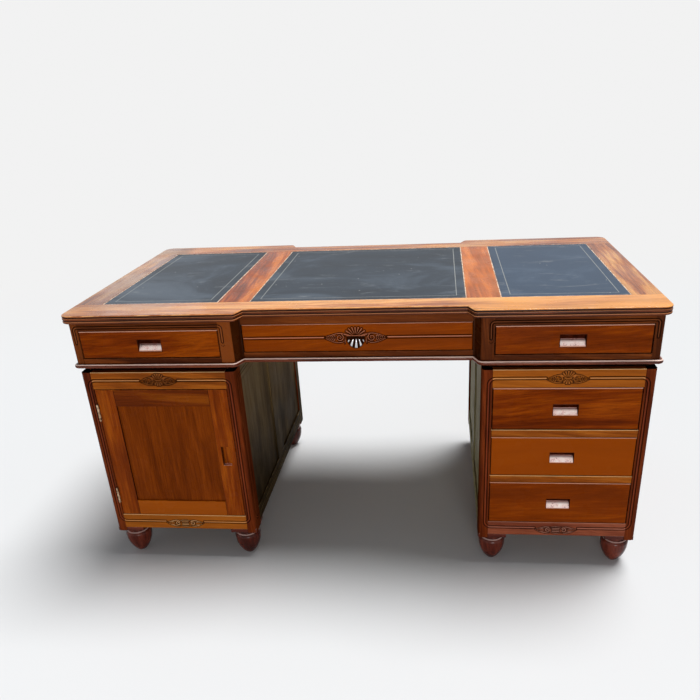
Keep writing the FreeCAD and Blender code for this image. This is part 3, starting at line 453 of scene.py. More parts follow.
def skin(corners, stops, levels, along, relief=None, finish=None, tone=0.0, held=(), dark_below=None):
    """A board standing on the outline. levels holds (z, inset) pairs from the bottom up, and relief gives
    how deep each place is carved, from its x, y, z and outward normal. Points on a held (axis, place)
    keep that place. finish picks a face's material from its ring and centre. Below dark_below, the insets
    are grooves as well, in painted shade. Cuts take painted shade and crests a painted highlight; the upper
    arris takes a painted highlight with some wear, the lower arris and small corners painted shade."""
    points, normals, arris = outline(corners, stops)
    for axis, place in held:
        normals[np.abs(points[:, axis] - place) < WELD, axis] = 0
    levels = np.array(levels, float)
    rings, count = len(levels), len(points)
    rows = *points.T, *normals.T, levels[:, :1]
    x, y, nx, ny, z = (np.broadcast_to(row, (rings, count)) for row in rows)
    carved = relief(x, y, z, nx, ny) if relief else np.zeros((rings, count))
    depth = carved + levels[:, 1:]
    grid = np.stack((x - nx * depth, y - ny * depth, z), -1)
    faces = tube_faces(rings, count)
    cut = carved
    if dark_below is not None:
        cut = cut + np.where(levels[:, :1] < dark_below, levels[:, 1:], 0)
    # Painted shade where the wood is cut, and a painted highlight, as a negative mark, on crests.
    hollow = np.where(cut < 0, cut / CREST * CREST_MARK, np.clip(cut / REED_DEEP, 0, 1)).ravel()
    # A painted highlight with some wear along the upper arris, painted shade along the lower one and down
    # small corners.
    near_end = np.minimum(levels[:, 0] - levels[0, 0], levels[-1, 0] - levels[:, 0]) < ARRIS_REACH
    steep = (np.abs(np.diff(levels[:, 1])) > WELD) & near_end[:-1] & near_end[1:]
    upper = levels[:-1, 0] > (levels[0, 0] + levels[-1, 0]) / 2
    wear_and_painted_light = np.where(steep, np.where(upper, 1.0, -1.0), 0.0)[:, None] + np.zeros(count)
    wear_and_painted_light = np.append(np.where(arris & (wear_and_painted_light <= 0), -1.0, wear_and_painted_light).ravel(), (0, 0))
    kinds = np.zeros(len(faces), int)
    if finish:
        centre = (grid[:-1] + grid[1:]) / 2
        centre = (centre + np.roll(centre, -1, axis=1)) / 2
        ring = np.repeat(np.arange(rings - 1), count)
        kinds[:-2] = finish(ring, centre.reshape(-1, 3))
    return Board(grid.reshape(-1, 3), faces, along, hollow, wear_and_painted_light, kinds, tone)


def oblong(x_low, x_high, y_low, y_high, radius=0.0):
    """The corners of a rectangle in plan."""
    places = (x_low, y_low), (x_high, y_low), (x_high, y_high), (x_low, y_high)
    return [(x, y, radius) for x, y in places]


def rail(x_low, x_high, y_low, y_high, levels, along, relief=None, stops=()):
    """A skin on a rectangle, along X or Y, whose two ends keep their place."""
    held = [(X, x_low), (X, x_high)] if along == X else [(Y, y_low), (Y, y_high)]
    return skin(oblong(x_low, x_high, y_low, y_high), stops, levels, along, relief, held=held)


def arris_levels(low, high, stops=(), radius=ARRIS, steps=3):
    """Levels from low to high whose first and last few turn in by a quarter round."""
    turn = [math.pi / 2 * step / steps for step in range(steps + 1)]
    arc = [(radius * (1 - math.sin(angle)), radius * (1 - math.cos(angle))) for angle in turn]
    inner = [(stop, 0) for stop in sorted(stops) if low + 1.2 * radius < stop < high - 1.2 * radius]
    bottom = [(low + rise, inset) for rise, inset in arc[::-1]]
    return bottom + inner + [(high - rise, inset) for rise, inset in arc]


def spread(low, high, step):
    """Evenly spaced places from low to high, at most a step apart."""
    return list(np.linspace(low, high, max(2, math.ceil((high - low) / step) + 1)))


def across_reeds(middle, gap=REED_GAP):
    """Places that follow the two grooves beside a middle line."""
    near = [offset * REED_WIDE for offset in (-1.3, -1, -0.75, -0.5, -0.25, 0, 0.25, 0.5, 0.75, 1, 1.3)]
    return distinct([middle + side * gap + offset for side in (-1, 1) for offset in near] + [middle])


def distinct(places):
    """The places in order, without those that nearly coincide."""
    kept = []
    for place in sorted(places):
        if not kept or place - kept[-1] > NEARLY_SAME:
            kept.append(place)
    return kept


# ---------------------------------------------------------------- carving


def groove_pair(distance, gap=REED_GAP):
    """How deep the wood is cut at a distance from the middle of a pair of grooves. The middle of the reed
    between them is a crest, with a painted highlight."""
    across = np.clip(np.abs(distance - gap) / REED_WIDE, 0, 1)
    cut = REED_DEEP * (0.5 + 0.5 * np.cos(math.pi * across)) ** GROOVE_POWER
    return np.where(distance < gap - CREST_SIDE * REED_WIDE, REED_HIGHLIGHT * CREST, cut)


def deepest(first, second):
    """The deeper of two carvings, with crests kept where neither cuts."""
    deeper = np.maximum(first, second)
    return np.where(deeper > 0, deeper, np.minimum(first, second))


def frame_distance(a, z, a_half, z_low, z_high, radius):
    """Distance from the line of a rounded rectangle whose middle is at a = 0."""
    z_mid, z_half = (z_low + z_high) / 2, (z_high - z_low) / 2
    qa = np.abs(a) - (a_half - radius)
    qz = np.abs(z - z_mid) - (z_half - radius)
    outside = np.hypot(np.maximum(qa, 0), np.maximum(qz, 0))
    return np.abs(outside + np.minimum(np.maximum(qa, qz), 0) - radius)


def broken(distance, a, z, gap, z_line):
    """The distance where the line along z_line is broken for a carving that reaches gap each way."""
    past, above = np.abs(a) - gap, z - z_line
    return np.where((past < 0) & (np.abs(above) < BREAK_HALF), np.hypot(past, above), distance)


def line(start, end, start_width, end_width):
    """A straight rib, as its middle line and its half width along it."""
    return [start, end], [start_width, end_width]


def curve(start, middle, end, widths, steps=10):
    """A rib that leaves start towards middle and bends evenly to end, with its half widths along it."""
    share = np.linspace(0, 1, steps + 1)[:, None]
    start, middle, end = np.array((start, middle, end))
    points = (1 - share) ** 2 * start + 2 * share * (1 - share) * middle + share**2 * end
    return points.tolist(), np.interp(share[:, 0], np.linspace(0, 1, len(widths)), widths).tolist()


def scroll(centre, first, last, start, turns, width, steps=22):
    """A spiral rib whose radius runs from first to last."""
    share = np.linspace(0, 1, steps + 1)
    angle = math.radians(start) + share * turns * 2 * math.pi
    radius = first + (last - first) * share
    points = np.stack((centre[0] + radius * np.cos(angle), centre[1] + radius * np.sin(angle)), -1)
    return points.tolist(), (width * (1 - 0.35 * share)).tolist()


def fan(centre, near, far, count, half_angle, downwards=False, splay=-0.10):
    """Flutes that open from a centre, upwards or downwards. splay makes the outer ones longer."""
    flutes = []
    wide = far * math.radians(half_angle) / (count - 1)
    for number in range(count):
        turn = math.radians(half_angle) * (2 * number / (count - 1) - 1)
        reach = far * (1 + splay * abs(math.sin(turn)))
        way = np.array((math.sin(turn), -math.cos(turn) if downwards else math.cos(turn)))
        start, end = (np.array(centre) + way * away for away in (near, reach - 0.8 * wide))
        flutes.append(line(start.tolist(), end.tolist(), 0.5 * wide * near / far, 0.5 * wide))
    return flutes


def both_sides(ribs):
    """The ribs and their mirror images."""
    return ribs + [([(-a, z) for a, z in points], widths) for points, widths in ribs]


def lobes(count, root, sink, reach, lean, bend, wide, tip):
    """Pairs of lobes above and below a leaf's stem, 5 mm apart. reach, lean and wide have the first
    pair's size and the change to the last pair's. The stem sinks a little from one pair to the next."""
    ribs = []
    for number in range(count):
        share = number / (count - 1)
        x, z = root[0] + 5 * number, root[1] - sink * number
        far, across, width = (first + change * share for first, change in (reach, lean, wide))
        for way in (1, -1):
            ends = (x, z), (x + 0.5, z + way * bend * far), (x + across, z + way * far)
            ribs.append(curve(*ends, (tip, width, tip)))
    return ribs


def shell_ribs():
    """A shell with a second fan under its bar and a leaf on each side, in millimetres from its bar."""
    ribs = fan((0, -2.5), 6, 24.5, 7, 58, splay=0.0) + [line((-8.5, -0.4), (8.5, -0.4), 1.25, 1.25)]
    ribs += fan((0, 1.5), 5, 20.5, 4, 38, downwards=True)
    side = [
        curve((9.5, 7.5), (28, 13), (52, -3.2), (0.5, 1.2, 0.9, 0.4)),
        curve((13, -13.5), (31, -15), (52, -3.6), (0.4, 1.2, 0.9, 0.4)),
        scroll((20, -2.5), 7.0, 2.2, 100, 1.15, 1.25),
        curve((13.5, 3.0), (17.5, 8.2), (25, 6.5), (0.4, 1.1, 0.5)),
        curve((14, -8.5), (19, -12.2), (27, -9.5), (0.4, 1.1, 0.5)),
    ]
    side += lobes(3, (30, -2.5), 0.2, (8.4, -4.4), (5.0, -1.0), 0.65, (1.35, -0.5), 0.5)
    return ribs + both_sides(side)


def drawer_ribs():
    """The middle drawer's shell over its bowl, with a leaf on each side."""
    side = [
        curve((27, 2), (38, 15), (82, -4.5), (0.8, 1.7, 1.3, 0.5)),
        curve((27.5, -13), (44, -27), (82, -6), (0.6, 1.6, 1.2, 0.5)),
        scroll((42, -4.5), 10.5, 2.4, 120, 1.4, 1.7),
        curve((29.5, -2), (26, -12), (29, -22), (0.4, 1.4, 0.5)),
    ]
    side += lobes(5, (54, -4.8), 0.0, (9.5, -6.5), (6.0, 0.0), 0.7, (1.7, -0.8), 0.6)
    ribs = fan((0, -3), 9, 29.5, 9, 74, splay=0.14) + [line((-25, 0.4), (25, 0.4), 1.5, 1.5)]
    return ribs + both_sides(side)


def block_ribs():
    """The lower rail's carving: a block of bars between two scrolls that trail off."""
    ribs = [line((-10, z), (10, z), 1.15, 1.15) for z in (-5.2, 0, 5.2)]
    ribs += [curve((-14, z), (0, 1.35 * z), (14, z), (0.7, 1.1, 0.7)) for z in (-9.4, 9.4)]
    side = [
        scroll((21.5, -0.5), 7.8, 1.8, 130, -1.35, 1.35),
        curve((18, 9.4), (32, 13), (57, 1.0), (0.6, 1.4, 1.0, 0.5)),
        curve((18.5, -10), (34, -12.5), (53, -1.8), (0.6, 1.4, 1.0, 0.5)),
        curve((32, 2.6), (37, 6.4), (46, 2.6), (0.5, 1.3, 0.6)),
        curve((32, -3.4), (37, -7.2), (44, -3.4), (0.5, 1.3, 0.6)),
    ]
    return ribs + both_sides(side)


def ribbed(ribs, middle, fullness, rubbed):
    """How deep a carving is cut: its ribs are left standing on a sunken ground, in painted shade. fullness
    is how wide the ribs are, and rubbed is how strong the painted highlight on their crests is."""

    def depth(a, z):
        spot = np.stack((a - middle[0], z - middle[1]), -1) / MM
        near = (np.abs(spot) < CARVING_REACH).all(-1)
        spot = spot[near]
        height, border = np.zeros(len(spot)), np.full(len(spot), FAR_OFF)
        for points, widths in ribs:
            points, widths = np.array(points), np.array(widths) * fullness
            least, wide = np.full(len(spot), FAR_OFF), np.full(len(spot), widths[0])
            for start, end, first, last in zip(points, points[1:], widths, widths[1:]):
                way = end - start
                share = np.clip(((spot - start) @ way) / (way @ way), 0, 1)
                away = np.hypot(*(spot - start - share[:, None] * way).T)
                wide = np.where(away < least, first + (last - first) * share, wide)
                least = np.minimum(away, least)
            height = np.maximum(height, np.sqrt(np.clip(1 - (least / wide) ** RIB_POWER, 0, 1)))
            border = np.minimum(border, least - wide)
        sunk = 1 - np.clip((border - GROUND_REACH) / GROUND_SLOPE, 0, 1) ** 2
        ground = CARVED_GROUND * np.clip(sunk - RIB_RISE * height, 0, 1)
        cut = np.zeros(a.shape)
        cut[near] = np.where(height > RIB_CREST, rubbed * CREST, ground)
        return cut

    return depth


def pedestal_relief(carved=None):
    """The grooves round each face of the right pedestal, with a carving let into the front's frame."""
    z_low, z_high = PEDESTAL_LINES
    half_x = (PEDESTAL_OUT - PEDESTAL_IN) / 2 - FRAME_INSET
    half_y = PEDESTAL_Y - FRAME_INSET

    def relief(x, y, z, nx, ny):
        a = x - PEDESTAL_MID
        front = frame_distance(a, z, half_x, z_low, z_high, FRAME_ROUND)
        front = broken(front, a, z, TOP_CARVING_HALF, z_high)
        front = broken(front, a, z, LOW_CARVING_HALF, z_low)
        side = frame_distance(y, z, half_y, z_low, z_high, FRAME_ROUND)
        depth = np.where(ny < -FACING, groove_pair(front), 0)
        outside = (np.abs(nx) > FACING) & (nx * a > 0)
        depth = np.where(outside, groove_pair(side), depth)
        if carved:
            depth = np.where(ny < -FACING, deepest(depth, carved(x, z)), depth)
        return depth

    return relief


def frieze_relief(x, y, z, nx, ny):
    """A pair of grooves along each top rail that turns down the stiles and ends rounded, over a notch."""

    def hanging(a, left, right):
        middle = (left + right) / 2
        half = (right - left) / 2
        low = FRIEZE_REED_Z - FAR_DOWN
        turned = frame_distance(a - middle, z, half, low, FRIEZE_REED_Z, FRIEZE_REED_ROUND)
        ends = np.hypot(np.abs(a - middle) - half, z - FRIEZE_REED_END)
        return np.where(z < FRIEZE_REED_END, ends, turned)

    face = hanging(np.abs(x), FRIEZE_REED_IN, FRIEZE_REED_OUT)
    depth = np.where(ny < -FACING, groove_pair(face, FRIEZE_REED_GAP), 0)
    end = hanging(y, -FRIEZE_END_REED, FRIEZE_END_REED)
    outside = (np.abs(nx) > FACING) & (nx * x > 0) & (np.abs(x) > FRIEZE_X - 1 * MM)
    depth = np.where(outside, groove_pair(end, FRIEZE_REED_GAP), depth)
    by_notch = (ny < -FACING) & (np.abs(x) < FRIEZE_REED_IN + 9 * MM)
    return np.where(by_notch, deepest(depth, notch(np.abs(x), z)), depth)


def notch(a, z):
    """Two short cuts that meet in a point below the grooves' end."""
    away = np.abs(a - FRIEZE_REED_IN) / MM
    up = (z - FRIEZE_REED_END) / MM + NOTCH_DOWN
    cut = np.abs(up - NOTCH_SLOPE * away) / NOTCH_HALF
    return np.where((away < NOTCH_REACH) & (cut < 1), NOTCH_DEEP * (1 - cut), 0)


def bowl_flute(x, z):
    """How near each place is to the middle of one of the bowl's flutes."""
    angle = np.arctan2(x, BOWL_TOP + FLUTE_MEET - z)
    return np.cos(angle / FLUTE_TURN * 2 * math.pi)


def bowl_lit(x, z):
    """Where the bowl's flutes take a painted highlight."""
    down = (BOWL_TOP - z) / BOWL_DROP
    inside = (x / BOWL_HALF) ** 2 + down**2
    return (down > LIT_DOWN) & (inside < LIT_OUT) & (bowl_flute(x, z) > LIT_WIDE * (1 - down))


def bowl_depth(x, z):
    """The finger pull under the middle drawer's shell: a fluted bowl that is deepest at its top."""
    down = (BOWL_TOP - z) / BOWL_DROP
    inside = (x / BOWL_HALF) ** 2 + np.clip(down, 0, None) ** 2
    ridge = 0.5 - 0.5 * bowl_flute(x, z)
    bowl = BOWL_DEEP * np.sqrt(np.clip(1 - inside, 0, 1)) * (1 - FLUTE_SHARE * ridge)
    return np.where(down >= 0, bowl, 0)


# ---------------------------------------------------------------- materials


def linear(colour, times=1.0):
    """A colour as a picture shows it, 0 to 255, times a number, as the shader's linear values."""
    parts = [part * times / 255 for part in colour]
    return [part / 12.92 if part <= 0.04045 else ((part + 0.055) / 1.055) ** 2.4 for part in parts] + [1.0]


class Finish:
    """The nodes of a material or of the world, with short ways to add to them."""

    def __init__(self, owner):
        owner.use_nodes = True
        self.owner = owner
        self.tree = owner.node_tree
        self.tree.nodes.clear()

    def add(self, kind, settings=None, **inputs):
        """A node with its settings and inputs, where an input is a value or another node's socket."""
        node = self.tree.nodes.new("ShaderNode" + kind)
        for key, value in (settings or {}).items():
            setattr(node, key, value)
        for key, value in inputs.items():
            socket = node.inputs[int(key[1:]) if key[1:].isdigit() else key.replace("_", " ")]
            if isinstance(value, bpy.types.NodeSocket):
                self.tree.links.new(value, socket)
            elif value is not None:
                socket.default_value = value
        return node

    def attribute(self, name, output="Fac"):
        return self.add("Attribute", {"attribute_name": name}).outputs[output]

    def place(self):
        return self.add("TexCoord").outputs["Object"]

    def axis(self, vector, number):
        return self.add("SeparateXYZ", Vector=vector).outputs[number]

    def math(self, operation, first, second, third=None):
        return self.add("Math", {"operation": operation}, i0=first, i1=second, i2=third).outputs[0]

    def times(self, first, second):
        return self.math("MULTIPLY", first, second)

    def most(self, first, second=0.0):
        return self.math("MAXIMUM", first, second)

    def vector(self, operation, first, second, third=None):
        return self.add("VectorMath", {"operation": operation}, i0=first, i1=second, i2=third).outputs[0]

    def noise(self, place, scale, detail=3, roughness=0.5, distortion=0.0):
        """Noise with one scale, or with one for each axis."""
        if isinstance(scale, tuple):
            place, scale = self.vector("MULTIPLY", place, scale), 1.0
        made = self.add(
            "TexNoise", Vector=place, Scale=scale, Detail=detail, Roughness=roughness, Distortion=distortion
        )
        return made.outputs["Fac"]

    def spread(self, value, low, high, to_low=0.0, to_high=1.0):
        made = self.add(
            "MapRange", {"clamp": True, "interpolation_type": "SMOOTHSTEP"},
            Value=value, From_Min=low, From_Max=high, To_Min=to_low, To_Max=to_high,
        )
        return made.outputs["Result"]

    def ramp(self, factor, *stops):
        node = self.add("ValToRGB", Fac=factor)
        for number, (place, colour) in enumerate(stops):
            item = node.color_ramp.elements[number] if number < 2 else node.color_ramp.elements.new(place)
            item.position = place
            item.color = linear(colour)
        return node.outputs["Color"]

    def mix(self, factor, first, second, blend="MIX"):
        settings = {"data_type": "RGBA", "blend_type": blend}
        return self.add("Mix", settings, i0=factor, i6=first, i7=second).outputs[2]

    def tint(self, factor, colour, shade, times=1.0):
        """The colour mixed with a shade, 0 to 255, times a number."""
        return self.mix(factor, colour, linear(shade, times))

    def bump(self, height, distance, strength, normal=None):
        node = self.add("Bump", Height=height, Distance=distance, Strength=strength, Normal=normal)
        return node.outputs["Normal"]

    def surface(self, **inputs):
        """The Principled shader and the output."""
        shader = self.add("BsdfPrincipled", **inputs)
        self.add("OutputMaterial", Surface=shader.outputs[0])
        return self.owner


def wood(name, dark, middle, light, specular, gloss, coat=0.0, figure=1.0, contrast=1.0, wear_and_painted_light=None, least_wear_and_highlight=0.0,
         slant=0.06, painted_light_by_place=()):
    """Polished figured mahogany: ribbon and flame figure, streaks, pores, and painted shade in hollows,
    where polish gathers too.
    worn is the colour of the painted highlight, with some wear, on upper arrises and crests, and rub is how
    strong it is at least;
    lower arrises take painted shade. faded has (axis, start, end, colour) for painted light or shade that
    changes along the desk."""
    f = Finish(bpy.data.materials.new(name))
    place = f.attribute("grain", "Vector")
    lean = f.add("CombineXYZ", Y=f.times(f.axis(place, X), slant)).outputs[0]
    place = f.vector("ADD", place, lean)
    drift = f.noise(place, (2.2, 7, 7), detail=2)
    waved = f.vector("MULTIPLY_ADD", drift, (0, 0.035 * figure, 0.035 * figure), place)
    flame = f.noise(waved, (2.4, 19, 19), detail=4, roughness=0.55, distortion=0.6)
    ribbon = f.noise(waved, (5, 95, 95), roughness=0.6)
    streak = f.noise(waved, (14, 430, 430), detail=2)
    pore = f.noise(waved, (110, 1900, 1900), detail=1)
    body = f.math("MULTIPLY_ADD", ribbon, 0.35, f.times(flame, 0.65))
    body = f.spread(body, 0.5 - 0.17 / contrast, 0.5 + 0.17 / contrast)
    colour = f.ramp(body, (0.0, dark), (0.5, middle), (1.0, light))
    colour = f.mix(1.0, colour, f.spread(streak, 0.36, 0.62, 0.80, 1.08), "MULTIPLY")
    pores = f.spread(pore, 0.62, 0.72)
    colour = f.tint(f.times(pores, 0.45), colour, dark, 0.35)
    tone = f.attribute("tone")
    colour = f.tint(f.most(tone), colour, light)
    colour = f.tint(f.most(f.times(tone, -1.0)), colour, dark, 0.6)
    # Painted light or shade that changes from place to place on the desk, broken into patches.
    for axis, start, end, shade in painted_light_by_place:
        cloud = f.noise(place, (5, 9, 9))
        patch = f.times(f.spread(f.axis(f.place(), axis), start, end), f.spread(cloud, 0.3, 0.7, 0.4, 1.0))
        colour = f.tint(f.times(patch, 0.6), colour, shade)
    # Painted shade in cuts and hollows, where polish gathers too.
    hollow = f.spread(f.attribute("hollow"), 0.12, 0.62)
    colour = f.tint(f.times(hollow, 0.93), colour, dark, 0.22)
    # A painted highlight on crests, and, with some wear, on upper arrises.
    bright = wear_and_painted_light or [min(255, part * 1.35 + 18) for part in light]
    crest = f.spread(f.attribute("hollow"), 0.15 * CREST_MARK, CREST_MARK)
    colour = f.tint(f.times(crest, 0.7), colour, bright)
    patchy = f.spread(f.noise(place, (30, 45, 45)), 0.42, 0.62)
    wear_and_highlight_share = f.most(f.times(patchy, 0.55), least_wear_and_highlight)
    # Painted shade along lower arrises, and a painted highlight with some wear along upper ones.
    rim = f.attribute("edge")
    colour = f.tint(f.times(f.most(f.times(rim, -1.0)), 0.85), colour, dark, 0.25)
    colour = f.tint(f.times(f.most(rim), wear_and_highlight_share), colour, bright)
    smear = f.noise(place, (9, 9, 9), roughness=0.6)
    smear = f.spread(smear, 0.3, 0.7, gloss - 0.06, gloss + 0.1)
    normal = f.bump(f.math("ADD", f.times(pores, -0.6), f.times(streak, 0.35)), 0.00008, 0.6)
    normal = f.bump(f.noise(place, (14, 38, 38), detail=2), 0.0006, 0.25, normal)
    return f.surface(
        Base_Color=colour, Roughness=f.math("ADD", smear, f.times(hollow, 0.18)), Normal=normal,
        Specular_IOR_Level=specular, Coat_Weight=coat, Coat_Roughness=0.12, Coat_IOR=1.5,
    )


def leather(name):
    """Old slate-coloured desk leather: fine pebble grain, rubbed patches, scratches, pale specks, and a
    painted bluish sheen on the right one.
    """
    f = Finish(bpy.data.materials.new(name))
    place = f.place()
    cloud = f.noise(place, (3.1, 4.6, 3), detail=5, roughness=0.6, distortion=0.8)
    cloud_shade = f.spread(cloud, 0.3, 0.72)
    colour = f.ramp(cloud_shade, (0.0, (32, 40, 49)), (0.55, (42, 52, 63)), (1.0, (70, 81, 93)))
    # A painted bluish sheen on the right leather.
    colour = f.tint(f.spread(f.axis(place, X), 0.33, 0.4, 0.0, 0.4), colour, (66, 90, 118))
    rubbed = f.spread(f.noise(place, (6, 17, 5), detail=6, roughness=0.7, distortion=1.5), 0.56, 0.78)
    colour = f.tint(f.times(rubbed, 0.5), colour, (128, 134, 138))
    scratch = f.noise(place, (16, 240, 10), detail=2, distortion=0.4)
    scratch = f.times(f.spread(scratch, 0.70, 0.78), f.spread(cloud, 0.45, 0.6))
    colour = f.tint(f.times(scratch, 0.55), colour, (156, 160, 162))
    cells = f.add("TexVoronoi", Vector=place, Scale=60)
    chosen = f.add("SeparateColor", Color=cells.outputs["Color"]).outputs[0]
    speck = f.times(f.math("GREATER_THAN", chosen, 0.955), f.spread(cells.outputs["Distance"], 0.14, 0.07))
    colour = f.tint(f.times(speck, 0.75), colour, (196, 196, 190))
    pebble = f.add("TexVoronoi", {"feature": "SMOOTH_F1"}, Vector=place, Scale=900).outputs["Distance"]
    crease = f.noise(place, 160, detail=4, roughness=0.6)
    normal = f.bump(f.math("ADD", f.times(pebble, 0.7), crease), 0.00025, 0.45)
    roughness = f.math("SUBTRACT", 0.5, f.times(rubbed, 0.12))
    return f.surface(Base_Color=colour, Roughness=roughness, Normal=normal, Specular_IOR_Level=0.2)


def plain(name, low, high, roughness, scale, metal=0.0, specular=0.5, deep=None):
    """A mottled finish between two colours, for brass, a painted reflection, walls in painted shade and
    tooling. Where deep is given, the depth of a recess takes that colour as painted shade."""
    f = Finish(bpy.data.materials.new(name))
    mottle = f.noise(f.place(), scale, detail=5, roughness=0.65)
    colour = f.ramp(f.spread(mottle, 0.32, 0.68), (0.0, low), (1.0, high))
    if deep:
        colour = f.tint(f.spread(f.attribute("hollow"), 0.5, 1.1), colour, deep)
    rough = f.spread(mottle, 0.3, 0.7, roughness - 0.08, roughness + 0.1)
    normal = f.bump(f.noise(f.place(), scale * 7), 0.0002, 0.5)
    return f.surface(
        Base_Color=colour, Roughness=rough, Normal=normal, Metallic=metal, Specular_IOR_Level=specular
    )


# Painted light on the front border: darker towards its left end, brighter orange towards its right.
BORDER = wood(
    "border_wood", (140, 68, 24), (206, 126, 62), (244, 172, 96), 0.2, 0.22, coat=0.1, contrast=1.25,
    slant=0, wear_and_painted_light=(255, 196, 124), painted_light_by_place=((X, -0.30, -0.56, (98, 50, 30)), (X, 0.22, 0.36, (255, 172, 70))),
)
# Painted shade darkens it towards the left end of the desk.
END_BORDER = wood(
    "end_border_wood", (112, 48, 16), (176, 98, 44), (222, 154, 82), 0.18, 0.22, coat=0.08, contrast=1.15,
    slant=0, wear_and_painted_light=(236, 178, 130), painted_light_by_place=((X, -0.64, -0.68, (50, 22, 10)),),
)
EDGE = wood("edge_wood", (54, 20, 6), (92, 40, 14), (128, 62, 26), 0.12, 0.25, wear_and_painted_light=(204, 130, 84), least_wear_and_highlight=0.7)
BEAD_WOOD = wood(
    "bead_wood", (64, 22, 10), (92, 38, 18), (120, 56, 28), 0.12, 0.2, coat=0.15, wear_and_painted_light=(250, 216, 200), least_wear_and_highlight=1
)
# Painted light makes the right strip brighter orange.
STRIP = wood(
    "strip_wood", (96, 36, 8), (156, 70, 20), (210, 116, 42), 0.12, 0.28, figure=1.1, contrast=1.15,
    painted_light_by_place=((X, 0.0, 0.5, (240, 134, 46)),),
)
DRAWER = wood(
    "drawer_wood", (88, 29, 0), (118, 45, 0), (146, 65, 2), 0.03, 0.25, figure=1.5, wear_and_painted_light=(238, 178, 152),
    least_wear_and_highlight=0.85, slant=-0.06,
)
FRIEZE_WOOD = wood(
    "frieze_wood", (64, 24, 4), (94, 42, 10), (126, 62, 20), 0.04, 0.25, wear_and_painted_light=(170, 104, 66), least_wear_and_highlight=0.3
)
FRAME_WOOD = wood(
    "frame_wood", (98, 42, 4), (136, 66, 12), (172, 96, 26), 0.04, 0.25, wear_and_painted_light=(250, 200, 140), least_wear_and_highlight=0.85
)
LOW_RAIL_WOOD = wood(
    "low_rail_wood", (92, 36, 20), (122, 58, 36), (150, 80, 54), 0.05, 0.25, wear_and_painted_light=(196, 140, 120), least_wear_and_highlight=0.6
)
POST_WOOD = wood(
    "post_wood", (66, 20, 4), (98, 38, 10), (126, 54, 18), 0.03, 0.25, wear_and_painted_light=(150, 70, 50), least_wear_and_highlight=0.5
)
POST_SIDE = wood("post_side_wood", (60, 20, 6), (88, 36, 14), (112, 52, 24), 0.0, 0.6)
DOOR_WOOD = wood("door_wood", (98, 35, 1), (130, 54, 4), (162, 80, 10), 0.04, 0.25, figure=0.8, slant=0)
# The kneehole sides, dull olive as painted shade: the left pedestal's darker and darker still towards the
# bottom, the right pedestal's lighter.
KNEEHOLE_SHADE_WOOD = wood(
    "side_wood", (74, 57, 33), (106, 85, 55), (134, 113, 77), 0.006, 0.5, slant=0, contrast=0.5,
    painted_light_by_place=((Z, 0.54, 0.28, (30, 12, 2)), (Z, 0.48, 0.24, (10, 3, 0)), (Z, 0.36, 0.14, (6, 2, 0))),
)
KNEEHOLE_LIGHTER_SHADE_WOOD = wood(
    "kneehole_side_lighter_painted_shade", (110, 102, 72), (142, 132, 96), (172, 162, 120), 0.02, 0.5, slant=0, contrast=0.5
)
PANEL_WOOD = wood(
    "panel_wood", (94, 36, 0), (114, 48, 2), (134, 60, 6), 0.03, 0.25, figure=0.8, slant=0, contrast=0.8
)
FOOT_WOOD = wood(
    "foot_wood", (56, 17, 9), (86, 32, 20), (114, 50, 34), 0.12, 0.16, coat=0.1, wear_and_painted_light=(228, 190, 180),
    least_wear_and_highlight=0.65,
)
# Near-black wood as painted shade, for the battens in the shadow gap and the posts' tops.
GAP_WOOD = wood("shadow_gap_painted_shade", (14, 6, 3), (24, 11, 7), (36, 18, 11), 0.0, 0.9)
HIDDEN_WOOD = wood("hidden_wood", (96, 62, 34), (124, 84, 48), (148, 104, 62), 0.12, 0.6)
LINING = wood("lining_wood", (136, 98, 58), (168, 126, 80), (190, 150, 102), 0.12, 0.55)
LEATHER = leather("slate_leather")
RUBBED = plain("rubbed_leather_edge", (170, 120, 84), (246, 222, 196), 0.5, 60)
TOOLING = plain("tooled_line", (112, 116, 118), (150, 152, 148), 0.5, 300)
# PALE is a painted reflection on the sloping floors of the recesses and on the latch's sill, with painted
# shade towards a recess's back; GLINT is a painted highlight on the bowl's flutes; SHADE is painted shade on
# the walls round a recess or the door panel.
PALE = plain(
    "pale_painted_reflection", (234, 192, 184), (255, 238, 230), 0.3, 50, metal=0.6, specular=0.4, deep=(84, 34, 22)
)
GLINT = plain("bowl_flutes_painted_glint", (206, 202, 208), (255, 252, 250), 0.22, 90, metal=0.6)
SHADE = plain("recess_walls_painted_shade", (34, 8, 2), (62, 20, 8), 0.6, 60, specular=0.0)
BRASS = plain("aged_brass", (120, 84, 56), (214, 184, 150), 0.32, 120, metal=0.8)

# ---------------------------------------------------------------- pieces


def soft(name, node, finishes, slot, **options):
    """The boards of a CAD node with softened arrises, in place of it."""
    make_piece(name, solid_boards(node, **options), finishes, [node], slot)


def hide(name, node, along=None):
    """The boards of a CAD node inside the desk."""
    soft(name, node, [HIDDEN_WOOD], "hidden_wood", along=along)


def give_tones(boards, tones):
    """Gives each board the tone that stands at its place."""
    for board, tone in zip(boards, tones):
        board.tone = tone


def reed_levels():
    """The top's edge from its underside up: three rounded reeds with grooves between them."""
    levels = []
    for low, high in LOWER_REEDS:
        half = (high - low) / 2
        for step in range(13):
            angle = math.pi * (step / 12 - 0.5)
            inset = TOP_REED_DEEP * (1 - math.cos(angle)) ** REED_POWER
            levels.append((low + half + half * math.sin(angle), inset))
    for step in range(5):
        angle = math.pi / 2 * (step / 4)
        rise = UPPER_REED_RISE * math.sin(angle)
        levels.append((UPPER_REED + rise, TOP_REED_DEEP * (1 - math.sin(angle))))
    for step in range(7):
        angle = math.pi / 2 * step / 6
        levels.append((TOP_HIGH - TOP_ROUND * (1 - math.sin(angle)), TOP_ROUND * (1 - math.cos(angle))))
    return levels


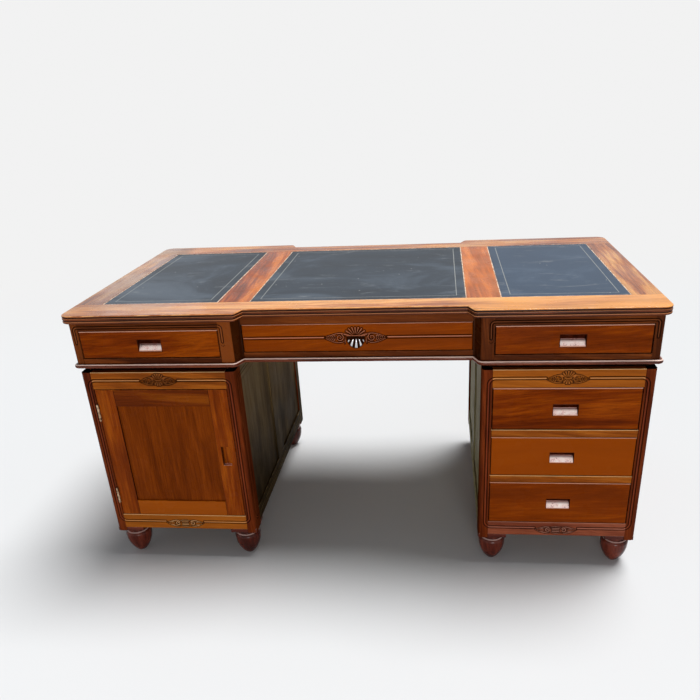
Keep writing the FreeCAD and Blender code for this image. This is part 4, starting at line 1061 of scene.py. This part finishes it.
def breakfront_half(end, face, return_x, outer_round, return_round, inner_round=0.0):
    """The corners of the front edge's outline, from the left end to the right."""
    right = [
        (return_x, RECESS_DEPTH - face, inner_round),
        (return_x + RECESS_SPLAY, -face, return_round),
        (end, -face, outer_round),
    ]
    return [(-x, y, radius) for x, y, radius in right[::-1]] + right


def edge_and_flat(ring, centre):
    """The top's reeded edge in one wood, and its flat in a lighter one: partly the flat's own colour, partly
    painted light.
    """
    return np.where(centre[:, 2] < EDGE_WOOD_TOP, 1, 0)


def edge_board(corners, along, held):
    """A border of the top, with a painted highlight along the crest of each reed of its edge."""
    finish = edge_and_flat
    board = skin(corners, {}, reed_levels(), along, finish=finish, held=held, dark_below=REEDS_TOP)
    rise = board.middles(Z)[:-2]
    board.edge[:-2] = np.any([(rise > low) & (rise < high) for low, high in REED_CRESTS], axis=0)
    return board


def make_top():
    """The wood borders with their reeded edge, the strips between the leathers, and the core."""
    rounds = TOP_CORNER_ROUND, TOP_RETURN_ROUND, TOP_INNER_ROUND
    edge = breakfront_half(TOP_X, TOP_Y, TOP_RETURN_X, *rounds)
    corners = [(-TOP_X, -LEATHER_Y, 0)] + edge + [(TOP_X, -LEATHER_Y, 0)]
    front = edge_board(corners, X, [(Y, -LEATHER_Y)])
    near, far = JOINT - LEATHER_Y, LEATHER_Y - JOINT
    held = [(Y, near), (Y, far), (X, LEATHER_X)]
    end = edge_board(oblong(LEATHER_X, TOP_X, near, far), Y, held)
    slot = "top_border_wood"
    make_piece("top_front_edge_border", [front], [BORDER, EDGE], ["top_front_border"], slot)
    make_piece("top_back_edge_border", [front.turned()], [END_BORDER, EDGE], ["top_back_border"], slot)
    ends = [end, end.turned()]
    make_piece("top_end_edge_borders", ends, [END_BORDER, EDGE], ["top_end_borders"], slot)
    soft("top_leather_strips", "top_cross_strips", [STRIP], "cross_strip_wood", along=Y, radius=0.35 * MM)
    hide("top_core_boards", "top_core", X)


def make_leather(node):
    """A leather with a softened edge, rubbed pale where it meets the wood, and a tooled line inside it."""
    low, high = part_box(node)
    line_in, line_out = TOOLED_INSET - TOOLED_WIDE / 2, TOOLED_INSET + TOOLED_WIDE / 2
    levels = [
        (low.z, 0),
        (high.z - LEATHER_ROUND, 0),
        (high.z - 0.3 * LEATHER_ROUND, 0.3 * LEATHER_ROUND),
        (high.z, LEATHER_ROUND),
        (high.z, RUBBED_EDGE),
        (high.z, line_in - TOOLED_SLOPE),
        (high.z - TOOLED_DEEP, line_in),
        (high.z - TOOLED_DEEP, line_out),
        (high.z, line_out + TOOLED_SLOPE),
    ]

    def parts(ring, centre):
        return np.select([ring <= 3, (ring >= 5) & (ring <= 7)], [1, 2], 0)

    tile = skin(oblong(low.x, high.x, low.y, high.y), {}, levels, X, finish=parts)
    tile.hollow[:] = 0
    make_piece(f"desk_{node}", [tile], [LEATHER, RUBBED, TOOLING], [node], "desk_leather")


def sweep(points, normals, profile, along):
    """A moulding along part of an outline, from (reach, z) places of its closed section."""
    count = len(profile)
    grid = [
        (x + nx * reach, y + ny * reach, z)
        for (x, y), (nx, ny) in zip(points, normals)
        for reach, z in profile
    ]
    # The crest of the bead's section takes a painted highlight.
    crest = [CREST_FROM <= place / (count - 1) <= CREST_TO for place in range(count)]
    edge = np.append(np.tile(crest, len(points) - 1), (0, 0))
    return Board(grid, tube_faces(len(points), count, flipped=True), along, edge=edge)


def make_bead():
    """The rounded moulding under the frieze, in four lengths that meet in the middle of its corners."""
    half = breakfront_half(FRIEZE_X, FRIEZE_Y, FRIEZE_RETURN_X, FRIEZE_ROUND, FRIEZE_STILE_ROUND)
    corners = half + [(-x, -y, radius) for x, y, radius in half]
    points, normals, _ = outline(corners)
    out = FRIEZE_ROUND * (1 - math.sqrt(0.5))
    x, y = FRIEZE_X - out, FRIEZE_Y - out
    mitres = [int(np.hypot(*(points - corner).T).argmin()) for corner in ((-x, -y), (x, -y), (x, y))]
    middle, rise = (BEAD_LOW + BEAD_HIGH) / 2, (BEAD_HIGH - BEAD_LOW) / 2
    profile = [(0, BEAD_LOW)]
    for step in range(17):
        angle = math.pi * (step / 16 - 0.5)
        reach = BEAD_REACH - BEAD_ROUND + BEAD_ROUND * math.cos(angle)
        profile.append((reach, middle + rise * math.sin(angle)))
    profile.append((0, BEAD_HIGH))
    boards = []
    for start, end, along in zip(mitres, mitres[1:], (X, Y)):
        part = slice(start, end + 1)
        boards.append(sweep(points[part], normals[part], profile, along))
    boards += [board.turned() for board in boards]
    make_piece("frieze_bead", boards, [BEAD_WOOD], ["frieze_bead_moulding"], "frame_wood")


def make_frieze():
    """The frames with their grooves, the end panels, and the boards inside."""
    top, low_top, open_top = TOP_LOW, FRIEZE_LOW + FRIEZE_LOW_RAIL, TOP_LOW - FRIEZE_TOP_RAIL
    inner_x = FRIEZE_RETURN_X + RECESS_SPLAY
    bay_in, bay_out = inner_x + FRIEZE_INNER_STILE, FRIEZE_X - FRIEZE_OUTER_STILE
    middle_open, middle_y = FRIEZE_RETURN_X - FRIEZE_CHEEK_LAND, FRIEZE_Y - RECESS_DEPTH
    back = middle_y - FRIEZE_CHEEK_BACK
    fine = [z for low, high in FRIEZE_FINE for z in spread(low, high, FINE_SAMPLE)]
    upright = arris_levels(FRIEZE_LOW, top, fine)

    inner = skin(
        [
            (FRIEZE_RETURN_X, -middle_y, 0),
            (inner_x, -FRIEZE_Y, FRIEZE_STILE_ROUND),
            (bay_in, -FRIEZE_Y, ARRIS),
            (bay_in, -back, 0),
            (middle_open, -back, 0),
            (middle_open, -middle_y, ARRIS),
        ],
        {1: spread(FRIEZE_REED_IN - 8 * MM - inner_x, bay_in - inner_x - ARRIS, FINE_SAMPLE)},
        upright, Z, frieze_relief,
    )
    outer = skin(
        [
            (bay_out, -FRIEZE_Y, ARRIS),
            (FRIEZE_X, -FRIEZE_Y, FRIEZE_ROUND),
            (FRIEZE_X, FRIEZE_STILE_DEPTH - FRIEZE_Y, 0),
            (bay_out, FRIEZE_STILE_DEPTH - FRIEZE_Y, 0),
        ],
        {
            0: spread(ARRIS, FRIEZE_OUTER_STILE - FRIEZE_ROUND, FINE_SAMPLE),
            1: spread(FRIEZE_ROUND, FRIEZE_STILE_DEPTH - 0.3 * MM, FINE_SAMPLE),
        },
        upright, Z, frieze_relief, held=[(Y, FRIEZE_STILE_DEPTH - FRIEZE_Y)],
    )
    reeds = across_reeds(FRIEZE_REED_Z, FRIEZE_REED_GAP)
    side = bay_in, bay_out, -FRIEZE_Y, RAIL_THICKNESS - FRIEZE_Y
    middle = -middle_open, middle_open, -middle_y, RAIL_THICKNESS - middle_y
    low_levels = arris_levels(FRIEZE_LOW, low_top)
    top_rail = rail(*side, arris_levels(open_top, top, reeds), X, frieze_relief)
    boards = [inner, outer, top_rail, rail(*side, low_levels, X)]
    boards += [board.mirrored() for board in boards]
    boards += [rail(*middle, arris_levels(open_top, top), X), rail(*middle, low_levels, X)]
    give_tones(boards, (0.0, -0.2, -0.25, 0.0, 0.95, -0.05, 0.1, 0.0, 0.2, 0.1))
    # The slanted cheeks are darker, as painted shade.
    for board in (boards[0], boards[4]):
        cheek = np.abs(board.middles(X)) < inner_x - 1 * MM
        board.tone = np.where(cheek, CHEEK_SHADE_TONE, board.tone)
    turned = [board.turned() for board in boards]
    make_piece("frieze_front_rails", boards, [FRIEZE_WOOD], ["frieze_front_frame"], "frame_wood")
    make_piece("frieze_back_rails", turned, [FRIEZE_WOOD], ["frieze_back_frame"], "frame_wood")

    end_y = FRIEZE_Y - FRIEZE_STILE_DEPTH
    end = rail(bay_out, FRIEZE_X, -end_y, end_y, arris_levels(FRIEZE_LOW, top, reeds), Y, frieze_relief)
    make_piece("frieze_ends", [end, end.turned()], [FRIEZE_WOOD], ["frieze_end_panels"], "frame_wood")
    hide("frieze_inner_boards", "frieze_partitions")
    hide("frieze_floor", "frieze_floor_board", X)
    hide("frieze_runners", "frieze_drawer_runners")


def on_corners(board):
    """A board at the right pedestal's inner front corner, and its mirror images at the other three."""
    beside = board.mirrored(PEDESTAL_MID)
    return [board, beside, board.turned().mirrored(), beside.turned().mirrored()]


def make_pedestals():
    """Posts, rails and side frames, with grooves round each face and a carving on each rail."""
    low_line, high_line = PEDESTAL_LINES
    arc = FRAME_ROUND + REED_GAP + REED_WIDE
    heights = spread(low_line - 6 * MM, low_line + arc + 4 * MM, COARSE_SAMPLE)
    heights += spread(high_line - arc - 4 * MM, high_line + 6 * MM, COARSE_SAMPLE)
    post_in = PEDESTAL_IN + POST_WIDTH
    post_back = POST_DEPTH - PEDESTAL_Y
    post = skin(
        [
            (PEDESTAL_IN, -PEDESTAL_Y, POST_ROUND),
            (post_in - LEAF_CLEARANCE, -PEDESTAL_Y, 0.3 * MM),
            (post_in - LEAF_CLEARANCE, post_back, 0),
            (PEDESTAL_IN, post_back, 0),
        ],
        {
            0: spread(POST_ROUND, POST_WIDTH - 0.4 * MM, COARSE_SAMPLE),
            3: spread(0.3 * MM, POST_DEPTH - POST_ROUND, COARSE_SAMPLE),
        },
        arris_levels(FOOT_HEIGHT, PEDESTAL_TOP, heights), Z, pedestal_relief(),
        held=[(Y, post_back)],
    )
    rise = np.array([post.points[list(face), Z].min() for face in post.faces])
    inwards = np.array([post.points[list(face), X].max() for face in post.faces]) < PEDESTAL_IN + 3 * MM
    # The posts' tops take the near-black painted shade of the shadow gap.
    post.finish = np.where(rise > PEDESTAL_TOP - 1.5 * ARRIS, 1, np.where(inwards, 2, 0))
    posts = on_corners(post)
    give_tones(posts, (0.0, 0.15, 0.15, 0.05))

    far = PEDESTAL_OUT - POST_WIDTH
    half = (far - post_in) / 2
    corner = FRAME_ROUND - (POST_WIDTH - FRAME_INSET) + REED_GAP
    shell = ribbed(shell_ribs(), (PEDESTAL_MID, high_line), 1.25, 0.3)
    block = ribbed(block_ribs(), (PEDESTAL_MID, low_line - 6.5 * MM), 1.2, 0.9)

    def carved_rail(low, high, carved_half, carving):
        reach = carved_half + 1 * MM
        across = spread(0, corner, COARSE_SAMPLE) + spread(half - reach, half + reach, RAIL_SAMPLE)
        across += spread(2 * half - corner, 2 * half, COARSE_SAMPLE)
        levels = arris_levels(low, high, spread(low, high, RAIL_SAMPLE), RAIL_ARRIS)
        section = -PEDESTAL_Y, RAIL_THICKNESS - PEDESTAL_Y
        return rail(post_in, far, *section, levels, X, pedestal_relief(carving), {0: distinct(across)})

    top_rail = carved_rail(PEDESTAL_TOP - TOP_RAIL, PEDESTAL_TOP, TOP_CARVING_HALF, shell)
    drawer_rail = carved_rail(RAIL_LOW, RAIL_LOW + DRAWER_LOW_RAIL, LOW_CARVING_HALF, block)
    door_rail = carved_rail(RAIL_LOW, RAIL_LOW + DOOR_LOW_RAIL, LOW_CARVING_HALF, block)
    drawer_rail.finish = 1
    rails = [top_rail, drawer_rail, top_rail.turned().mirrored(), door_rail.turned().mirrored()]
    dividers = [
        board for board in solid_boards("right_pedestal_face_rails", radius=RAIL_ARRIS)
        if np.ptp(board.points[:, Y]) > 1.5 * RAIL_THICKNESS
    ]
    give_tones(rails + dividers, (0.45, 0.1, 0.15, 0.55) + (0.1,) * len(dividers))

    reach_y = PEDESTAL_Y - POST_DEPTH
    side = PEDESTAL_IN, PEDESTAL_IN + SIDE_FRAME
    low_edge, high_edge = RAIL_LOW + SIDE_LOW_RAIL, PEDESTAL_TOP - SIDE_TOP_RAIL
    sides = []
    for low, high, line_z in ((high_edge, PEDESTAL_TOP, high_line), (RAIL_LOW, low_edge, low_line)):
        levels = arris_levels(low, high, across_reeds(line_z))
        sides.append(rail(*side, -reach_y, reach_y, levels, Y, pedestal_relief()))
    muntin = oblong(*side, -HALF_MUNTIN, HALF_MUNTIN, ARRIS)
    sides.append(skin(muntin, {}, [(low_edge, 0), (high_edge, 0)], Z))
    sides += [board.mirrored(PEDESTAL_MID) for board in sides]

    for side_name in ("right", "left"):
        # Faces towards the kneehole take painted shade, lighter on the right pedestal and darker on the
        # left.
        for number, board in enumerate(sides):
            board.finish = 1 if number >= 3 else (2 if side_name == "right" else 0)
        groups = (
            ("posts", posts, [POST_WOOD, GAP_WOOD, POST_SIDE, KNEEHOLE_SHADE_WOOD], "post_wood"),
            ("face_rails", rails + dividers, [FRAME_WOOD, LOW_RAIL_WOOD], "frame_wood"),
            ("side_frames", sides, [KNEEHOLE_SHADE_WOOD, POST_WOOD, KNEEHOLE_LIGHTER_SHADE_WOOD], "post_wood"),
        )
        for part, boards, finishes, slot in groups:
            if side_name == "left":
                boards = [board.turned() for board in boards]
            # One of the left posts' faces towards the kneehole takes the darker painted shade.
            if (side_name, part) == ("left", "posts"):
                boards[0].finish = np.where(boards[0].finish == 2, 3, boards[0].finish)
            make_piece(f"{side_name}_{part}", boards, finishes, [f"{side_name}_pedestal_{part}"], slot)
        # So do the side panels' faces towards the kneehole.
        soft(
            f"{side_name}_side_panel_boards", f"{side_name}_pedestal_side_panels",
            [KNEEHOLE_SHADE_WOOD, PANEL_WOOD, KNEEHOLE_LIGHTER_SHADE_WOOD], "panel_wood", along=Z,
            finish=lambda centre, normal: 1 if abs(centre.x) > PEDESTAL_MID else (2 if centre.x > 0 else 0),
        )
        hide(f"{side_name}_inner_boards", f"{side_name}_pedestal_boards")
    hide("drawer_runners", "pedestal_drawer_runners")
    # The battens in the shadow gap are near-black, as painted shade.
    soft("shadow_battens", "pedestal_battens", [GAP_WOOD], "foot_wood")


def lathe(profile, x, y, segments=72):
    """A turned piece on an upright axis, from (radius, z) places, bottom up."""
    turns = [2 * math.pi * number / segments for number in range(segments)]
    round_axis = [(math.cos(turn), math.sin(turn)) for turn in turns]
    points = [(x + radius * cos, y + radius * sin, z) for radius, z in profile for cos, sin in round_axis]
    return Board(points, tube_faces(len(profile), segments), Z)


def bulge(start, end, radius, steps):
    """Places on an arc from start to end, both (radius, z), that bulges outwards. Takes millimetres."""
    start, end, radius = np.array(start) * MM, np.array(end) * MM, radius * MM
    chord = end - start
    length = np.hypot(*chord)
    out = np.array((chord[1], -chord[0])) / length
    centre = (start + end) / 2 - out * math.sqrt(radius**2 - (length / 2) ** 2)
    first, last = (math.atan2(*(place - centre)[::-1]) for place in (start, end))
    return [
        (centre[0] + radius * math.cos(turn), centre[1] + radius * math.sin(turn))
        for turn in np.linspace(first, last, steps + 1)
    ]


def make_feet():
    """Turned feet with their collars, and the square blocks above them."""
    neck = ((33.2, 76), (31, 77.3), (28.6, 78.2), (28, 80), (28, 82.6), (28.6, 83.6), (31.4, 84))
    profile = [(13 * MM, 0)] + bulge((15, 2), (38, 62), 90, 14) + bulge((38, 62), (34, 75), 12, 10)[1:]
    profile += [(radius * MM, z * MM) for radius, z in neck]
    profile += bulge((32.2, 84.2), (32.2, 91.8), 6, 8) + [(31.4 * MM, FOOT_HEIGHT)]
    foot = lathe(profile, PEDESTAL_IN + FOOT_INSET, FOOT_INSET - PEDESTAL_Y)
    # A painted highlight round each foot's ring.
    ring = foot.points[[face[0] for face in foot.faces[:-2]], Z]
    foot.edge[:-2] = (ring > FOOT_CREST[0]) & (ring < FOOT_CREST[1])
    feet = on_corners(foot)
    feet += [board.turned() for board in feet]
    # The feet at the back are darker, as painted shade.
    give_tones(feet, (0, 0, BACK_FOOT_SHADE, BACK_FOOT_SHADE, BACK_FOOT_SHADE, BACK_FOOT_SHADE, 0, 0))
    make_piece("feet", feet, [FOOT_WOOD], ["turned_feet"], "foot_wood")
    soft("corner_blocks", "foot_blocks", [FOOT_WOOD], "foot_wood", along=X)


def recess_part(low, high):
    """Picks the finish of a drawer front's faces: the sloping floor of its recess, in a painted reflection,
    and its walls, in painted shade.
    """
    face = max(abs(low.y), abs(high.y))
    middle = (low + high) / 2

    def pick(centre, normal):
        behind = face - abs(centre.y)
        if TILTED < normal.z < NEARLY and abs(normal.y) > STEEP and behind > 2 * FRONT_ROUND:
            return 1
        near = abs(centre.x - middle.x) < WALL_HALF[0] and abs(centre.z - middle.z) < WALL_HALF[1]
        return 2 if near and FRONT_ROUND < behind < WALL_BEHIND else 0

    return pick


def recess_depth(points, low, high):
    """How deep each point lies in a drawer front's recess, from 0 at its lip to 1 at its back, which darkens
    its floor as painted shade.
    """
    behind = max(abs(low.y), abs(high.y)) - np.abs(points[:, Y])
    middle = (low + high) / 2
    inside = (np.abs(points[:, (X, Z)] - (middle.x, middle.z)) < PULL_HALF).all(1) & (behind < PULL_BEHIND)
    return np.where(inside, np.clip((behind - FRONT_ROUND) / (PULL_DEPTH - FRONT_ROUND), 0, 1), 0)


def make_drawers():
    """Drawer fronts with their finger recesses, the carved middle ones, and the boxes behind them."""
    for face in ("front", "back"):
        for place, tone in DRAWERS.items():
            body = f"{face}_{place}_drawer"
            soft(f"{body}_tray", f"{body}_box", [LINING], "drawer_lining_wood")
            if place == CARVED_DRAWER:
                continue
            pick = recess_part(*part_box(f"{body}_front"))
            front = solid_boards(f"{body}_front", radius=FRONT_ROUND, segments=3, finish=pick)
            front[0].tone = tone
            # The depth of the recess darkens its floor as painted shade.
            front[0].hollow = recess_depth(front[0].points, *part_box(f"{body}_front"))
            pieces = [f"{body}_front"]
            make_piece(f"{body}_face", front, [DRAWER, PALE, SHADE], pieces, "drawer_front_wood")

    low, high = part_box(f"front_{CARVED_DRAWER}_drawer_front")
    carving = ribbed(drawer_ribs(), (0, DRAWER_BAR_Z), 1.0, 0.5)

    def relief(x, y, z, nx, ny):
        line_z = broken(np.abs(z - DRAWER_REED_Z), x, z, DRAWER_CARVING, DRAWER_REED_Z)
        depth = deepest(deepest(groove_pair(line_z), carving(x, z)), bowl_depth(x, z))
        return np.where(ny < -FACING, depth, 0)

    # The lit parts of the bowl's flutes take a painted highlight.
    def bowl_finish(ring, centre):
        x, y, z = centre.T
        return np.where((y < high.y - 1 * MM) & bowl_lit(x, z), 1, 0)

    corners = oblong(low.x, high.x, low.y, high.y, FRONT_ROUND)
    across = spread(FRONT_ROUND - high.x, -DRAWER_FINE, PLAIN_SAMPLE)
    across += spread(-DRAWER_FINE, DRAWER_FINE, CARVED_SAMPLE)
    across += spread(DRAWER_FINE, high.x - FRONT_ROUND, PLAIN_SAMPLE)
    across = distinct([place - low.x for place in across])
    levels = arris_levels(low.z, high.z, spread(low.z, high.z, CARVED_SAMPLE), FRONT_ROUND, 4)
    front = skin(corners, {0: across}, levels, X, relief, bowl_finish, DRAWERS[CARVED_DRAWER])
    for face, board in (("front", front), ("back", front.turned())):
        node = f"{face}_{CARVED_DRAWER}_drawer_front"
        make_piece(f"{face}_shell_drawer_face", [board], [DRAWER, GLINT], [node], "drawer_front_wood")


def make_doors():
    """The cupboard doors: frame, panel and hinges."""

    def part_of(centre, normal):
        # The latch's sill takes a painted reflection, the walls round the latch and the panel painted shade,
        # and the latch's side walls a darker wood as painted shade.
        if normal.z > NEARLY and LATCH_SILL[0] < centre.z < LATCH_SILL[1]:
            return 1
        by_latch = LATCH_X[0] < abs(centre.x) < LATCH_X[1] and LATCH_Z[0] < centre.z < LATCH_Z[1]
        by_panel = PANEL_X[0] < abs(centre.x) < PANEL_X[1] and PANEL_Z[0] < centre.z < PANEL_Z[1]
        if by_latch and abs(normal.x) > NEARLY:
            return 3
        return 2 if (by_latch or by_panel) and abs(normal.y) < STEEP else 0

    def tone(middle):
        above = middle[2] - DOOR_MIDDLE
        return DOOR_TONES[1 if abs(above) < DOOR_BAND else 2 if above > 0 else 0]

    for face in ("front", "back"):
        frame_node, panel_node = f"{face}_door_frame", f"{face}_door_panel"
        finishes = [DOOR_WOOD, PALE, SHADE, FRIEZE_WOOD]
        soft(f"{face}_door_rails", frame_node, finishes, "door_wood", finish=part_of, tone=tone)
        soft(f"{face}_door_inset", panel_node, [PANEL_WOOD], "panel_wood", along=Z)
    for name in ("front_door_hinge_leaves", "back_door_hinge_leaves", "fixed_hinge_leaves_and_pins"):
        for slot in frame["nodes"][name].material_slots:
            slot.material = BRASS


make_top()
for leather_node in ("leather_left", "leather_middle", "leather_right"):
    make_leather(leather_node)
make_bead()
make_frieze()
make_pedestals()
make_feet()
make_drawers()
make_doors()

# ---------------------------------------------------------------- stage, camera and light


def background_rays(f):
    """1 for the rays that see the background: from the camera, a mirror or glass."""
    path = f.add("LightPath")
    seen = f.most(path.outputs["Is Camera Ray"], path.outputs["Is Glossy Ray"])
    return f.most(seen, path.outputs["Is Transmission Ray"])


def make_stage():
    """A pale floor that fades into the background's own white."""
    mesh = bpy.data.meshes.new("floor")
    corners = [(x * FLOOR_HALF, y * FLOOR_HALF, 0) for x, y in ((-1, -1), (1, -1), (1, 1), (-1, 1))]
    mesh.from_pydata(corners, [], [(0, 1, 2, 3)])
    floor = place_object("floor", mesh)
    f = Finish(bpy.data.materials.new("floor"))
    away = f.add("VectorMath", {"operation": "LENGTH"}, i0=f.place()).outputs["Value"]
    near = f.add("BsdfDiffuse", Color=FLOOR_SHADE)
    glow = f.add("Emission", Color=(WHITE, WHITE, WHITE, 1), Strength=1.0)
    share = f.times(f.spread(away, *FLOOR_FADE), background_rays(f))
    blend = f.add("MixShader", i0=share, i1=near.outputs[0], i2=glow.outputs[0])
    f.add("OutputMaterial", Surface=blend.outputs[0])
    mesh.materials.append(f.owner)


def make_world():
    """Even light all round, seen as the background's white."""
    world = bpy.data.worlds.new("studio")
    bpy.context.scene.world = world
    f = Finish(world)
    light = f.add("Background", Color=WORLD_SHADE, Strength=WORLD_LIGHT)
    white = f.add("Background", Color=(1, 1, 1, 1), Strength=WHITE)
    blend = f.add("MixShader", i0=background_rays(f), i1=light.outputs[0], i2=white.outputs[0])
    f.add("OutputWorld", Surface=blend.outputs[0])


def make_light(name, kind, energy, rotation):
    """A light of some kind, turned by a quaternion."""
    data = bpy.data.lights.new(name, kind)
    data.energy = energy
    lamp = place_object(name, data)
    lamp.rotation_mode = "QUATERNION"
    lamp.rotation_quaternion = rotation
    return lamp


def make_lamp(name, place, target, size, power):
    """A square soft box that faces its target."""
    lamp = make_light(name, "AREA", power, (Vector(target) - Vector(place)).to_track_quat("-Z", "Y"))
    lamp.data.shape = "SQUARE"
    lamp.data.size = size
    lamp.location = place
    lamp.visible_camera = False


def make_sun(towards, strength, soft_degrees):
    """The key light, from behind and above, soft enough to blur the desk's shadow."""
    lamp = make_light("key", "SUN", strength, Vector(towards).to_track_quat("Z", "Y"))
    lamp.data.angle = math.radians(soft_degrees)


def make_camera():
    """The photograph's viewpoint, held 3 degrees off level, with its shifted frame."""
    pitch, yaw, roll = CAMERA_TURN
    forward = Vector((math.sin(yaw) * math.cos(pitch), math.cos(yaw) * math.cos(pitch), -math.sin(pitch)))
    right = Vector((math.cos(yaw), -math.sin(yaw), 0))
    down = forward.cross(right)
    across = right * math.cos(roll) + down * math.sin(roll)
    drop = down * math.cos(roll) - right * math.sin(roll)
    data = bpy.data.cameras.new("camera")
    data.sensor_width = 36.0
    data.lens = 34.894
    data.shift_x = -0.022857
    data.shift_y = 0.071429
    camera = place_object("camera", data)
    turn = Matrix((across, -drop, -forward)).transposed()
    camera.matrix_world = Matrix.Translation(CAMERA_PLACE) @ turn.to_4x4()
    bpy.context.scene.camera = camera


make_stage()
make_world()
make_camera()
make_sun(towards=(0.22, 0.15, 0.78), strength=3.38, soft_degrees=30)
make_lamp("fill", place=(0.9, -5.0, 0.75), target=(0, 0, 0.5), size=1.4, power=72)
make_lamp("window", place=(-1.75, 2.35, 1.5), target=(-0.6, -0.2, 0.78), size=0.7, power=0.9)
bpy.context.scene.view_settings.view_transform = "Standard"
